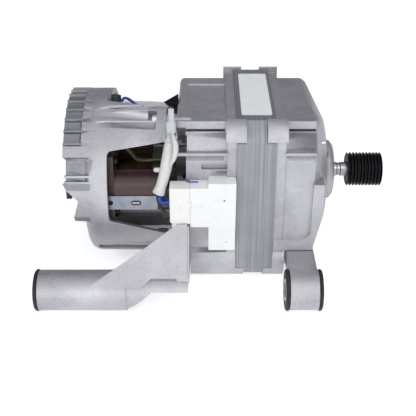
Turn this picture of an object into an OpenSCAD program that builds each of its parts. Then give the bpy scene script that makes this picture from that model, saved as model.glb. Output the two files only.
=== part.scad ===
// Brushed universal motor of a washing machine.
// The shaft runs along X, with the pulley at the +X end. Z is up and the motor stands on its lugs.
// Lengths along X are counted from the rear face of the lamination stack.

/* [Stator stack] */
// Length of the lamination stack
stack_len = 25; // [20:0.5:40]
// Half of the stack's width across its flats
stack_half = 57.3; // [56:0.1:60]
// Radius of the stack over its rounded corners
stack_corner_r = 73.5; // [71:0.1:75]
// Radius of the bore that the rotor turns in
stator_bore_r = 31.5; // [29:0.1:33]
// Gap between the field coils and the shells
coil_gap = 3.4; // [2.4:0.1:6]
// Angle from the brush line to the far side of a slot
slot_angle = 33; // [26:1:38]

/* [Housing shells] */
// Half of the width of both shells across their flats
shell_half = 54; // [53:0.1:56]
// Radius on the long edges of the shells
shell_edge_r = 19.6; // [14:0.1:24]
// Thickness of the shells at the middle of their flats
shell_wall = 3.6; // [3:0.1:5]
// Length of the rear shell behind the stack
rear_shell_len = 38.2; // [34:0.1:46]
// Length of the straight part of the front shell
front_shell_len = 25.3; // [22:0.1:32]
// Length of the sloped nose of the front shell
nose_len = 10.7; // [8:0.1:14]
// Radius of the flat ring at the small end of the nose
nose_r = 38; // [34:0.5:42]
// Thickness of the end walls of the shells
end_wall = 3.5; // [3:0.1:5]
// Radius of the corner ears that grip the stack
ear_r = 13.5; // [12.6:0.1:14]
// Distance of an ear's centre from the shaft, along Y and along Z
ear_c = 45.5; // [44:0.1:46]
// Length of an ear beside the stack
ear_len = 7; // [6:0.1:9]
// Length by which an ear overlaps the stack
ear_grip = 6; // [4:0.1:8]
// Distance of a housing bolt from the shaft, along Y and along Z
bolt_c = 42; // [41.5:0.1:42.5]
// Radius of a housing bolt
bolt_r = 2.5; // [2:0.1:3]
// Depth of the pockets that the bolt heads lie in
bolt_pocket = 14; // [10:0.1:20]
// Thickness of the ribs on the shells
rib_t = 1.8; // [1.5:0.1:2.4]

/* [Front hub] */
// Radius of the hub that holds the front bearing
hub_r = 20.5; // [19:0.1:23]
// Length of the hub in front of the nose
hub_len = 8.2; // [7:0.1:10]
// Radius of the opening that the shaft comes out of
hub_opening_r = 9; // [8:0.1:11]

/* [Rear bracket] */
// Outer radius of the rear bracket
bracket_r = 57.2; // [56:0.1:58]
// Wall of the rear bracket
bracket_wall = 4; // [3:0.1:5]
// Distance from the stack to the screw faces of the legs
leg_foot_x = 45.4; // [43:0.1:50]
// Distance from the stack to the back of the bracket
bracket_back_x = 99.7; // [97:0.1:106]
// Height of the cooling fins behind the bracket
fin_h = 12; // [8:0.1:14]
// Angle from one cooling fin to the next
fin_pitch = 9; // [9:1:12]
// Width of the grooves between the fins
groove_w = 2.8; // [1.5:0.1:4]
// Depth of the grooves below the rim
groove_depth = 3.6; // [1.5:0.1:5]
// Distance from the bracket's back to the windows
window_setback = 16.5; // [14:0.1:20]
// Distance of the leg screws from the outside of the bracket
leg_screw_inset = 5.2; // [4.8:0.1:6]
// Radius of the leg screws
leg_screw_r = 2; // [1.8:0.1:2.4]

/* [Shaft and rotor] */
// Radius of the shaft at the front bearing and the pulley
shaft_front_r = 5; // [4.5:0.1:6]
// Radius of the shaft at the rear bearing
shaft_rear_r = 4; // [3.5:0.1:4.4]
// Radius of the shaft through the rotor
shaft_mid_r = 6.2; // [6:0.1:7.5]
// Radial gap between rotor and stack
air_gap = 0.5; // [0.4:0.1:1]
// Number of rotor slots
rotor_slots = 12; // [8:1:16]
// Radius of the commutator
commutator_r = 18; // [16:0.1:19]
// Length of the commutator
commutator_len = 24; // [20:0.5:26]
// Number of commutator bars
commutator_bars = 24; // [16:1:36]
// Length of the winding heads of the rotor
rotor_head = 12; // [10:0.5:14]
// Length of the winding heads of the stator
coil_head = 13; // [11:0.5:15]

/* [Pulley] */
// Number of belt grooves
pulley_grooves = 10; // [6:1:12]
// Distance from one belt groove to the next
groove_pitch = 2.34; // [2:0.01:3]
// Depth of a belt groove
belt_groove_depth = 2; // [1.5:0.1:2.3]
// Outer radius of the pulley
pulley_r = 11.8; // [11:0.1:14]
// Length of the plain collar at each end of the pulley
pulley_collar = 0.5; // [0.4:0.1:3]
// Gap between the front hub and the pulley
pulley_gap = 10.6; // [8:0.1:16]

/* [Bearings] */
// Outer radius of the front bearing
front_bearing_r = 15; // [14:0.5:16]
// Width of the front bearing
front_bearing_w = 9; // [8:0.5:10]
// Outer radius of the rear bearing
rear_bearing_r = 11; // [11:0.5:12]
// Width of the rear bearing
rear_bearing_w = 7; // [6:0.5:8]
// Clearance between round parts that fit together
fit = 0.04; // [0.02:0.01:0.08]

/* [Lugs] */
// Distance of the lug bores from the shaft, along Y
lug_y = 83.8; // [81:0.1:90]
// Distance of the lug bores below the shaft
lug_drop = 45.6; // [43:0.1:48]
// Outer radius of the lugs
lug_r = 13.2; // [12.5:0.1:13.4]
// Radius of the bore in the lugs
lug_bore_r = 10; // [9.5:0.1:10.5]
// Length of the long rear lug tubes
rear_lug_len = 56.6; // [45:0.1:64]
// Distance from the stack to the inner end of the rear lug tubes
rear_lug_x = 70.4; // [66:0.1:74]
// Length of the short front lugs
front_lug_len = 18.5; // [15:0.1:24]
// Distance from the stack to the near end of the front lugs
front_lug_gap = 9.4; // [9:0.1:13]
// Radius of the rubber collars
bush_collar_r = 13.6; // [13.5:0.1:14]
// Thickness of the rubber collars
bush_collar = 2.6; // [2:0.1:6]
// Thickness of the outer collar of the front bushes
front_collar = 2.5; // [2:0.1:6]
// Depth of the rubber bushes in the rear lug tubes
rear_bush_depth = 22; // [14:0.5:30]
// Outer radius of the steel sleeves
sleeve_r = 7.4; // [6.9:0.1:8]
// Bore of the steel sleeves, for a 10 mm bolt
sleeve_bore_r = 5.2; // [5.1:0.05:5.5]

/* [Brush gear] */
// Angle of the brush line above the horizontal
brush_turn = 10; // [6:1:14]
// Length of a brush holder along the shaft
holder_len = 34; // [30:0.5:36]
// Width of a brush holder
holder_w = 23.8; // [22:0.1:26]
// Gap between a brush holder and the wall of the bracket
holder_gap = 5.2; // [4.6:0.1:7]
// Width of a carbon brush along the shaft
brush_len = 12.5; // [10:0.1:14]
// Thickness of a carbon brush
brush_t = 6; // [5:0.1:7]
// Radius of the rolled strip spring behind a brush
spring_r = 2.75; // [2.4:0.05:3.5]
// Gap between a brush and the commutator
brush_gap = 0.2; // [0.15:0.05:0.4]
// Gap around a brush in its holder
brush_slack = 0.15; // [0.1:0.05:0.3]
// Distance that a brush can be pushed back
brush_travel = 4; // [2:0.5:5]
// Turns of the rolled strip spring behind a brush
spring_turns = 4; // [3:1:5]
// Thickness of the spring's strip
spring_strip = 0.25; // [0.2:0.05:0.3]

/* [Terminals] */
// Thickness of the terminal header
header_t = 12; // [9:0.1:14]
// Length of the plug along the shaft
plug_len = 13; // [10:0.1:15]
// Thickness of the plug
plug_t = 11; // [9:0.1:13]
// Radius of the wires
wire_r = 1.3; // [1:0.1:1.6]
// Radius of the sleeve over the wires
sleeving_r = 3.6; // [3:0.1:4]

/* [Hidden] */

$fn = 64;
eps = 0.01;
cut = 1;
crest = 0.25;

// The insides of the shells, and the winding slots that keep clear of them
cavity_r = shell_half - shell_wall;
slot_floor_r = cavity_r - coil_gap;

// Places along the shaft
front_face = stack_len;
shoulder_x = stack_len + front_shell_len;
nose_x = shoulder_x + nose_len;
hub_face = nose_x + hub_len;
pulley_x = hub_face + pulley_gap;
pulley_len = pulley_collar * 2 + pulley_grooves * groove_pitch - 2 * crest;
shaft_end = pulley_x + pulley_len;
cup_back = -bracket_back_x;
fin_end = cup_back - fin_h;
window_x = cup_back + window_setback;
foot_x = -leg_foot_x;
foot_len = 6.3;

// The lugs
rear_lug_in = -rear_lug_x;
rear_lug_out = rear_lug_in - rear_lug_len;
front_lug_in = stack_len + front_lug_gap;
front_lug_out = front_lug_in + front_lug_len;
rear_end = rear_lug_out - bush_collar;

// The motor stands on its rubber collars, and its origin is midway along it, at that height
axis_h = lug_drop + bush_collar_r;
x_mid = (rear_end + shaft_end) / 2;

// The round bars along the lower corners of the shells
low_c = 42;
low_r = 16.1;

// The arms that carry the rear lugs slope up from the tube to the side of the shell
arm_slope = 40;
arm_t = 5;
arm_end = -rear_shell_len + 8;
arm_rise = 41;
trough_flat = -40;

// The bearings
front_seat = hub_face - 3.2;
washer_t = 0.5;
rear_seat = cup_back + 2.5;
race_t = 2.4;

// The brush gear
holder_out = bracket_r - bracket_wall - holder_gap;
brush_x = window_x + 14.5;
holder_x = window_x - 0.8;
holder_in = commutator_r + 3;
holder_flange = 4;
pillar_t = 17.5;
pillar_out = holder_out - 8;
pillar_r = 4.5;
strip_t = 1.2;
strip_low = -13.2;
strip_high = -3.9;
screw_r = 1.8;
brush_foot = commutator_r + brush_gap;
cap_t = 2;
brush_top = holder_out - cap_t - 2 * spring_r - brush_travel - 0.3;
brush_h = brush_top - brush_foot;

// The screws and the half round channels of the legs, and the angles of the legs
leg_screw_c = bracket_r - leg_screw_inset;
channel_r = 4.5;
leg_angles = [64.5, -43, -120];

// The terminal header
header_y = shell_half;
header_x0 = 8.6 - rear_shell_len;
header_step = -18;
header_bottom = -26.5;
header_low = -9;
header_top = 22.5;
header_high = 19.2;
plug_y = header_y + 1.2;
plug_bottom = -6.4;
plug_high = 19.2;

// The wires beside the near side of the rear shell, as points counted from its rear edge
blue_route = [[-11.7, -8.9, 13.2], [-12.7, -9.5, 10.5], [-11, -9.2, 7.9], [-8.6, -8.6, 6.8],
    [-6.6, -8.2, 6.6], [-3.5, -8, 6.6]];
brown_route = [[-13.2, -6.4, 13.3], [-14, -6.8, 10.5], [-13.4, -6.6, 6.4], [-11.4, -6.4, 2.4],
    [-9, -6.4, -0.6], [-6.6, -6.6, -2], [-3.5, -6.8, -2.2]];
black_route = [[-10.2, -6.6, 11.9], [-10, -6.9, 10.4], [-8.5, -6.9, 9], [-7, -6.6, 10.4],
    [-6.6, -6.2, 12.8], [-5.8, -6, 15.2], [-4, -6, 16]];
sleeving_route = [[-4, 9.4, 50], [-4.2, 6, 44.6], [-4.7, 3.5, 38.8], [-5.9, 0, 32.1],
    [-7.6, -3.5, 25.3], [-9.9, -6, 18], [-11.6, -7, 13.2]];
function beside(route) = [for (p = route) [p[0] - rear_shell_len, p[1] - shell_half, p[2]]];

// The wires inside the bracket
earth_route = [[-85, -35.9, 38.5], [-84.4, -34.8, 37.4], [-81, -32, 34.4], [-77, -31, 33],
    [-72.2, -31, 31], [-70.4, -31, 29.2], [-67.9, -31, 25.9], [-65, -31, 22.6], [-60, -30, 21.4],
    [-50, -29.6, 22], [-32, -30, 22], [-13.1, -30, 22]];
lead_route = [[-75.6, -5.2, 54.7], [-74.4, -4, 55.3], [-72.2, -3.4, 54.6], [-69.6, -3.6, 52.8],
    [-66.6, -4.4, 50.6], [-61, -6.6, 47.6], [-52, -10, 44], [-42, -12, 40], [-30, -12, 39.2], [-13.1, -12, 39.2]];

// Builds in the frame of the shaft, then puts the motor on its lugs
module place() {
    translate([-x_mid, 0, axis_h]) children();
}

// Extrudes a drawing of the Y-Z plane along the shaft
module along_x(x0, len) {
    translate([x0, 0, 0]) rotate([90, 0, 90]) linear_extrude(len) children();
}

// Extrudes a drawing of the X-Z plane towards the near side, from y0 outwards
module towards_near(y0, depth) {
    translate([0, -y0, 0]) rotate([90, 0, 0]) linear_extrude(depth) children();
}

// Turns a profile of [radius, x] points about the shaft
module about_x(points) {
    rotate([0, 90, 0]) rotate_extrude() polygon(points);
}

// A round bar along the shaft
module bar(x0, len, r) {
    translate([x0, 0, 0]) rotate([0, 90, 0]) cylinder(h = len, r = r);
}

// A round bar along the shaft, at a place on the near side
module bar_at(x0, len, r, y, z) {
    translate([x0, -y, z]) rotate([0, 90, 0]) cylinder(h = len, r = r);
}

// Turns a child from straight up to an angle above the near horizontal
module at_angle(angle) {
    rotate([90 - angle, 0, 0]) children();
}

// Repeats a child on both sides of the motor
module both_sides() {
    children();
    mirror([0, 1, 0]) children();
}

// Repeats a child in all four corners
module four_corners() {
    for (side = [0, 1], level = [0, 1]) {
        mirror([0, side, 0]) mirror([0, 0, level]) children();
    }
}

// A square with round corners, as points
function rounded_square(half, r) = [for (q = [0:3], i = [0:8])
    let (a = q * 90 + i * 11.25, cx = (q == 0 || q == 3 ? 1 : -1), cy = (q < 2 ? 1 : -1))
    [cx * (half - r) + r * cos(a), cy * (half - r) + r * sin(a)]];

// A stretch of a ring in the Y-Z plane, from angle a0 to a1 above the near horizontal
function ring_part(r0, r1, a0, a1) = let (n = ceil((a1 - a0) / 5)) concat(
    [for (i = [0:n]) let (a = 180 - a0 - (a1 - a0) * i / n) [r1 * cos(a), r1 * sin(a)]],
    [for (i = [n:-1:0]) let (a = 180 - a0 - (a1 - a0) * i / n) [r0 * cos(a), r0 * sin(a)]]);

module ring_sector(x0, len, r0, r1, a0, a1) {
    along_x(x0, len) polygon(ring_part(r0, r1, a0, a1));
}

// A point of a coordinate list, and its neighbours, for the swept wires
function unit(v) = v / norm(v);
function heading(p, i) = unit(p[min(i + 1, len(p) - 1)] - p[max(i - 1, 0)]);
function across(d) = unit(cross(d, abs(d[0]) < 0.9 ? [1, 0, 0] : [0, 0, 1]));

// A smooth curve through the points of a route, with a few steps between each two
function blend(a, b, c, d, t) = 0.5 * (2 * b + (c - a) * t + (2 * a - 5 * b + 4 * c - d) * t * t
    + (3 * b - a - 3 * c + d) * t * t * t);
function smooth(p, steps) = let (n = len(p)) concat([for (i = [0:n - 2], k = [0:steps - 1])
    blend(p[max(i - 1, 0)], p[i], p[i + 1], p[min(i + 2, n - 1)], k / steps)], [p[n - 1]]);

// Sweeps a round section along points
module swept(points, r, sides = 8) {
    n = len(points);
    ring = [for (i = [0:n - 1]) let (d = heading(points, i), u = across(d), w = cross(d, u))
        for (k = [0:sides - 1]) points[i] + r * (cos(k * 360 / sides) * u + sin(k * 360 / sides) * w)];
    walls = [for (i = [0:n - 2], k = [0:sides - 1]) let (a = i * sides + k, b = i * sides + (k + 1) % sides)
        each [[a, b + sides, b], [a, a + sides, b + sides]]];
    start = [[for (k = [0:sides - 1]) k]];
    finish = [[for (k = [sides - 1:-1:0]) (n - 1) * sides + k]];
    polyhedron(ring, concat(walls, start, finish));
}

// The two ribs along the near upper corner of a shell, over a stretch of the shaft
module corner_ribs(x0, len) {
    translate([x0, -ear_c + 0.5, 46]) cube([len, rib_t, shell_half + 2 - 46]);
    translate([x0, -shell_half - 3.2, 37.7]) cube([len, 8, rib_t]);
}

// One ear in each upper corner, beside the stack and over its corners
module ears(x0, len) {
    both_sides() intersection() {
        translate([x0, -ear_c, ear_c]) rotate([0, 90, 0]) cylinder(h = len, r = ear_r);
        translate([x0, -2 * ear_c, ear_c + 2]) cube([len, ear_c - 2, ear_c]);
    }
}

// The round bar along each lower corner, from x0 to x1, and its tab under the stack
module corner_bars(x0, x1, tab_x0, tab_x1) {
    both_sides() {
        translate([x0, -low_c, -low_c]) rotate([0, 90, 0]) cylinder(h = x1 - x0, r = low_r);
        intersection() {
            translate([tab_x0, -low_c, -low_c]) rotate([0, 90, 0]) cylinder(h = tab_x1 - tab_x0, r = low_r);
            translate([tab_x0, -2 * low_c, -2 * low_c]) cube([tab_x1 - tab_x0, low_c, low_c - 4.5]);
        }
    }
}

// The space of the stack, with a little room
module stack_space(x0, len, room) {
    along_x(x0, len) stack_outline(room);
}

module stack_outline(room = 0) {
    intersection() {
        square(2 * (stack_half + room), center = true);
        circle(r = stack_corner_r + room, $fn = 128);
    }
}

module bolt_holes(x0, len, r) {
    four_corners() translate([x0, -bolt_c, bolt_c]) rotate([0, 90, 0]) cylinder(h = len, r = r);
}

// The sloped side arm and the tube of one rear lug, on the near side
module arm_body() {
    lift = lug_r * 0.999;
    // The tube
    translate([rear_lug_out, -lug_y, -lug_drop]) rotate([0, 90, 0]) cylinder(h = rear_lug_len, r = lug_r);
    // The half round root that runs on from the tube to the shell
    intersection() {
        translate([rear_lug_in - 8, -lug_y, -lug_drop]) rotate([0, 90, 0])
            cylinder(h = arm_end - rear_lug_in + 7.4, r = lug_r - 0.8);
        towards_near(lug_y - 20, 40) polygon([[rear_lug_in - 9, -lug_drop - 9],
            [rear_lug_in - 0.5, -lug_drop - 9], [rear_lug_in + 16, trough_flat], [arm_end, trough_flat],
            [arm_end, 0], [rear_lug_in - 9, 0]]);
    }
    // The sloped plate
    translate([0, -lug_y, -lug_drop]) at_angle(arm_slope) translate([0, 0, lift - arm_t]) linear_extrude(arm_t)
        polygon([[rear_lug_in - 24, 0], [rear_lug_in - 18.8, 4.4], [rear_lug_in + 6.2, 21.2], [foot_x - 1.2, 34.8],
            [foot_x + 8, arm_rise], [arm_end - 1.2, arm_rise], [arm_end - 1.2, 6], [arm_end - 24, 6],
            [rear_lug_in + 10, 0]]);
    // The web that ties the plate to the side of the shell
    along_x(-rear_shell_len, arm_end + rear_shell_len) polygon([[-shell_half + 2, -7.4], [-shell_half - 14.4, -7.4],
        [-lug_y - 7, -lug_drop + 11.4], [-lug_y, trough_flat], [-shell_half + 2, trough_flat]]);
}

// One arm of the rear shell, with its long lug tube. It is cast with the shell, and drawn by itself
module rear_arm(side) {
    color("silver") place() mirror([0, side, 0]) difference() {
        arm_body();
        along_x(-rear_shell_len - cut, rear_shell_len) polygon(rounded_square(shell_half, shell_edge_r));
        translate([rear_lug_out - cut, -lug_y, -lug_drop]) rotate([0, 90, 0])
            cylinder(h = rear_lug_len + cut + 6, r = lug_bore_r);
    }
}

// The rear shell, with its ears, ribs and the pads of the bracket
module rear_shell() {
    color("silver") place() difference() {
        union() {
            along_x(-rear_shell_len, rear_shell_len) polygon(rounded_square(shell_half, shell_edge_r));
            along_x(-ear_len + 1, ear_len - 1) polygon(rounded_square(shell_half + 2, 15));
            ears(-ear_len, ear_len + ear_grip);
            corner_ribs(-rear_shell_len, rear_shell_len - ear_len + 2);
            // The small rail above the terminal header
            both_sides() translate([header_step + 1, -shell_half - 1.2, header_top + 1.8])
                cube([-header_step - 1.5, 3, 2]);
            corner_bars(arm_end, 0, -eps, ear_grip);
            // The post that the cable tie goes around
            bar_at(foot_x + 1.4, 15, 2.1, 35.4, 53);
            // The pads that the bracket legs stand on
            for (angle = leg_angles) at_angle(angle) translate([foot_x, 0, leg_screw_c])
                rotate([0, 90, 0]) cylinder(h = leg_foot_x - rear_shell_len + 4, r = 4.4);
        }
        // The round cavity, open to the stack
        bar(-rear_shell_len + end_wall, rear_shell_len, cavity_r);
        // The ring of the end wall
        bar(-rear_shell_len - cut, end_wall + 2 * cut, cavity_r - 6);
        stack_space(0, ear_grip + cut, 0.05);
        bolt_holes(-rear_shell_len + bolt_pocket - eps, rear_shell_len, bolt_r + 0.15);
        // The pockets for the bolt heads
        four_corners() translate([-rear_shell_len - cut, -bolt_c, bolt_c]) rotate([0, 90, 0])
            cylinder(h = bolt_pocket + cut, r = bolt_r + 2.4);
        // The open end of the near side: two gaps between the ribs, and one below them
        ring_sector(-rear_shell_len - cut, 5.8 + cut, 49, 78, 38.3, 43.3);
        ring_sector(-rear_shell_len - cut, 5.8 + cut, 49, 78, 44.5, 49);
        translate([-rear_shell_len - cut, -shell_half - cut, 17]) cube([6 + cut, 12, 19]);
        // The slot above the header
        both_sides() translate([header_step - 4.3, -shell_half - cut, header_top + 4.3])
            cube([-header_step + 3.8, 4, 3.6]);
        // The shallow panel on the top
        translate([-32.5, -21, shell_half - 0.8]) cube([26, 46.6, 5]);
        for (angle = leg_angles) at_angle(angle) translate([foot_x - cut, 0, leg_screw_c])
            rotate([0, 90, 0]) cylinder(h = 9, r = leg_screw_r + fit);
    }
}

// The outside of the front shell behind its hub
module nose_hull(inset) {
    hull() {
        along_x(shoulder_x - 1 - inset, 1) polygon(rounded_square(shell_half - inset, shell_edge_r - inset));
        bar(nose_x - 1 - inset, 1, nose_r - inset, $fn = 32);
    }
}

// One front foot, with its lug, on the near side
module front_foot() {
    translate([front_lug_in, -lug_y, -lug_drop]) rotate([0, 90, 0]) cylinder(h = front_lug_len, r = lug_r);
    // The level arm from the shell to the lug
    translate([front_lug_in, -lug_y, -lug_drop]) cube([front_lug_len - 0.6, lug_y - shell_half + 4, lug_r - 0.05]);
    // The raised frame on the side of the shell
    towards_near(shell_half - 9, stack_half - shell_half + 9) polygon(concat(
        [[front_face + 0.3, -lug_drop + lug_r + 0.4], [front_lug_out - 1.2, -lug_drop + lug_r + 0.4],
        [shoulder_x + 2, -20], [shoulder_x + 4.2, -11], [shoulder_x + 6.4, -2], [shoulder_x + 6.4, 17],
        [shoulder_x - 0.6, 17]],
        [for (a = [0:15:90]) [shoulder_x - 6.6 + 6 * cos(a), -19.6 - 6 * sin(a)]],
        [[front_face + 0.3, -25.6]]));
}

// The front shell, with its nose, bearing hub, ears and short lugs
module front_shell() {
    color("silver") place() difference() {
        union() {
            along_x(front_face, front_shell_len - 0.5) polygon(rounded_square(shell_half, shell_edge_r));
            along_x(front_face, ear_len - 1) polygon(rounded_square(shell_half + 2, 15));
            nose_hull(0);
            ears(front_face - ear_grip, ear_len + ear_grip);
            corner_bars(front_face, front_face + ear_len + 1, front_face - ear_grip, front_face + eps);
            corner_ribs(front_face + ear_len - 2, shoulder_x - front_face - ear_len + 2);
            about_x([[0, front_seat - front_bearing_w], [front_bearing_r + 4, front_seat - front_bearing_w],
                [hub_r + 3.5, nose_x - 0.5], [hub_r + 0.6, nose_x + 2.2], [hub_r, hub_face - 2.4],
                [hub_r - 2.4, hub_face - 0.4], [hub_r - 5, hub_face], [0, hub_face]]);
            // The webs that carry the hub
            for (angle = [45:90:315]) at_angle(angle) translate([shoulder_x - 1, -rib_t, hub_r - 3])
                cube([nose_len + 2.8, 2 * rib_t, 14]);
            both_sides() front_foot();
        }
        // The round cavity, open to the stack
        bar(front_face - cut, front_shell_len + cut - 2.5, cavity_r);
        nose_hollow();
        stack_space(front_face - ear_grip - cut, ear_grip + cut, 0.05);
        bolt_holes(front_face - ear_grip - cut, ear_grip + ear_len + cut + 0.1, bolt_r + fit);
        // The bearing seat, open to the inside, and the shaft's opening
        bar(front_seat - front_bearing_w - cut, front_bearing_w + cut + washer_t + 0.1, front_bearing_r + fit);
        bar(front_seat - cut, hub_face - front_seat + 2 * cut, hub_opening_r);
        both_sides() translate([front_lug_in - cut, -lug_y, -lug_drop]) rotate([0, 90, 0])
            cylinder(h = front_lug_len + 2 * cut, r = lug_bore_r);
    }
}

// The hollow of the nose, around the bearing seat
module nose_hollow() {
    difference() {
        about_x([[0, shoulder_x - 3.5], [cavity_r - 1.5, shoulder_x - 3.5], [nose_r - 4, nose_x - end_wall],
            [0, nose_x - end_wall]]);
        bar(front_seat - front_bearing_w, 40, front_bearing_r + 4);
        for (angle = [45:90:315]) at_angle(angle) translate([shoulder_x - 5, -rib_t, hub_r - 6]) cube([30, 2 * rib_t, 30]);
    }
}

// The drawing of one window of the bracket: edges at the back and at the legs
module window(angle, back_low, back_high, foot_low, foot_high) {
    r = 3.4;
    low = r - back_low;
    high = back_high - r;
    at_angle(angle) translate([0, 0, 24]) linear_extrude(bracket_r) polygon(concat(
        [[foot_x + cut, foot_high], [foot_x + cut, -foot_low]],
        [for (a = [270:-15:180]) [window_x + r + r * cos(a), low + r * sin(a)]],
        [for (a = [180:-15:90]) [window_x + r + r * cos(a), high + r * sin(a)]]));
}

// One groove between two cooling fins
module fin_groove(angle) {
    at_angle(angle) {
        translate([fin_end - cut, -groove_w / 2, bracket_r - groove_depth]) cube([fin_h + cut, groove_w, 9]);
    }
}

// A stretch of the crown behind the cup, that runs out over the rounded edge of the cup
module crown_part(x0, r0, r1, a0, a1) {
    ring_sector(x0, cup_back + 3 - x0, r0, r1, a0, a1);
    ring_sector(cup_back + 2, 6, bracket_r - 3.5, r1, a0, a1);
}

// The finned rear bracket, with its legs, windows and rear bearing seat
module rear_bracket() {
    fin_low = 43;
    fin_count = 15;
    fin_high = fin_low + fin_count * fin_pitch + 3;
    rib_r = channel_r + 2.6;
    color("silver") place() difference() {
        union() {
            // The cup and its legs
            difference() {
                about_x([[0, cup_back], [bracket_r - 7, cup_back], [bracket_r - 4.4, cup_back + 0.6],
                    [bracket_r - 2, cup_back + 2.2], [bracket_r - 0.6, cup_back + 4.6],
                    [bracket_r, cup_back + 7.6], [bracket_r, foot_x], [0, foot_x]]);
                about_x([[0, cup_back + bracket_wall], [bracket_r - 10, cup_back + bracket_wall],
                    [bracket_r - bracket_wall, cup_back + 10], [bracket_r - bracket_wall, foot_x + cut],
                    [0, foot_x + cut]]);
                window(13, 23.5, 24.5, 33, 30);
                window(193, 23.5, 24.5, 33, 30);
                window(122, 38, 22, 36, 24);
                window(-81.5, 17, 17, 17.5, 17.5);
            }
            // The finned crown
            crown_part(fin_end, 26, bracket_r - 0.05, fin_low - 9, fin_high);
            // The bay below the fins, with two ribs, a sloped gusset and a lip
            ring_sector(fin_end + 1.8, fin_h + 1, 26, bracket_r - 2.6, 17, fin_low - 8);
            for (angle = [17.4, 21.4]) crown_part(fin_end + 1, 40, bracket_r - 0.4, angle - 0.8, angle + 0.8);
            intersection() {
                crown_part(fin_end, 40, bracket_r - 0.4, 3, 16.8);
                at_angle(10) translate([0, 0, 30]) linear_extrude(40) polygon([[fin_end, 6.4], [fin_end + 2, 2.2],
                    [fin_end + 10.4, -6], [cup_back + 6, -6], [cup_back + 6, 6.4]]);
            }
            intersection() {
                crown_part(fin_end + 5, 40, bracket_r - 0.8, -11.6, 4.4);
                at_angle(-3) translate([0, 0, 30]) linear_extrude(40) polygon([[fin_end + 9.4, 8],
                    [fin_end + 5.6, -5], [fin_end + 6.4, -7.6], [cup_back + 6, -8], [cup_back + 6, 8]]);
            }
            // The seat of the rear bearing, and the turret around the speed sensor
            bar(cup_back + 1, rear_bearing_w + 4, rear_bearing_r + 4);
            bar(fin_end + 2, fin_h + 1, 24);
            // The pillars of the brush holders
            for (side = [0, 180], t = [-1, 1]) at_angle(brush_turn + side) translate([cup_back + 2, t * pillar_t, pillar_out])
                rotate([0, 90, 0]) cylinder(h = holder_x - cup_back - 2, r = pillar_r);
            // The legs: a screw lug and a half round rib on each
            for (angle = leg_angles) {
                difference() {
                    ring_sector(foot_x - foot_len - 0.4, foot_len + 0.4, bracket_r - 10.5, bracket_r + 0.4,
                        angle - 12, angle + 10);
                    at_angle(angle) translate([foot_x - foot_len - cut, 7.8, bracket_r - 2.4]) cube([foot_len + 2 * cut, 8, 8]);
                }
                at_angle(angle) translate([0, 0, leg_screw_c]) along_x(cup_back + 9, bracket_back_x - leg_foot_x - 10)
                    polygon(concat([for (a = [180:15:360]) rib_r * [cos(a), sin(a)]], [[rib_r, 2.6], [-rib_r, 2.6]]));
            }
        }
        for (k = [0:fin_count]) fin_groove(fin_low + k * fin_pitch);
        // The half round channels that lead to the leg screws
        for (angle = leg_angles) at_angle(angle) translate([0, 0, leg_screw_c])
            along_x(cup_back + 6.6, bracket_back_x - leg_foot_x - foot_len - 6.6) polygon(concat(
                [for (a = [180:15:360]) channel_r * [cos(a), sin(a)]], [[channel_r, 9], [-channel_r, 9]]));
        // The long hollows on both sides of a leg's rib
        for (angle = leg_angles, side = [-1, 1]) at_angle(angle) translate([0, 0, bracket_r - 2.2])
            linear_extrude(5) polygon([[window_x - 2, side * 5.6], [foot_x - foot_len - 1, side * 5.6],
                [foot_x - foot_len - 1, side * 11], [window_x + 2, side * 6.8]]);
        // The bearing seat, the shaft's opening and the sensor's bay
        bar(rear_seat, bracket_back_x, rear_bearing_r + fit);
        bar(fin_end - cut, fin_h + 9, shaft_rear_r + 2.5);
        bar(fin_end - cut, 10 + cut, 20.05);
        // The open inside of the crown
        bar(fin_end - cut, 3 + cut, 33);
        // Screw holes
        for (angle = leg_angles) at_angle(angle) translate([foot_x - foot_len - cut, 0, leg_screw_c])
            rotate([0, 90, 0]) cylinder(h = foot_len + 2 * cut, r = leg_screw_r + 0.15);
        for (side = [0, 180], t = [-1, 1]) at_angle(brush_turn + side)
            translate([holder_x - 8, t * pillar_t, pillar_out]) rotate([0, 90, 0]) cylinder(h = 9, r = screw_r + fit);
    }
}

// The lamination stack, with its poles, slots and bolt holes
module stator_core() {
    color("lightslategray") place() along_x(0, stack_len) difference() {
        stack_outline();
        circle(r = stator_bore_r);
        for (side = [0, 180]) {
            polygon(ring_part(stator_bore_r + 2, slot_floor_r, side - slot_angle, side + slot_angle));
            polygon(ring_part(stator_bore_r - 1, stator_bore_r + 3, side - slot_angle / 3, side + slot_angle / 3));
        }
        for (sy = [-1, 1], sz = [-1, 1]) translate([sy * bolt_c, sz * bolt_c]) circle(r = bolt_r + 0.15);
    }
}

// One field coil, of the upper or the lower pole
module field_coil(turn) {
    clear = 0.1;
    color("sienna") place() rotate([turn, 0, 0]) {
        for (x0 = [-coil_head, stack_len + clear]) ring_sector(x0, coil_head - clear, stator_bore_r + 3, slot_floor_r - clear, 4, 176);
        for (low = [4, 182 - slot_angle]) ring_sector(-clear - eps, stack_len + 2 * clear + 2 * eps,
            stator_bore_r + 3, slot_floor_r - clear, low, low + slot_angle - 6);
    }
}

// The black insulating film that stands out over the upper coil
module coil_film() {
    edge = -rear_shell_len;
    hole = cavity_r - 6;
    color("black") place() translate([0, 4, 0]) rotate([90, 0, 0]) linear_extrude(0.5)
        polygon([[-coil_head, slot_floor_r - 11], [-coil_head, hole - 1], [edge - 0.1, hole - 1],
            [edge - 0.1, shell_half + 1.4], [edge - 10.3, shell_half - 4.7], [edge - 4.8, hole - 0.2],
            [edge - 0.3, hole - 4.4], [edge + 4.2, slot_floor_r - 11]]);
}

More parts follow.
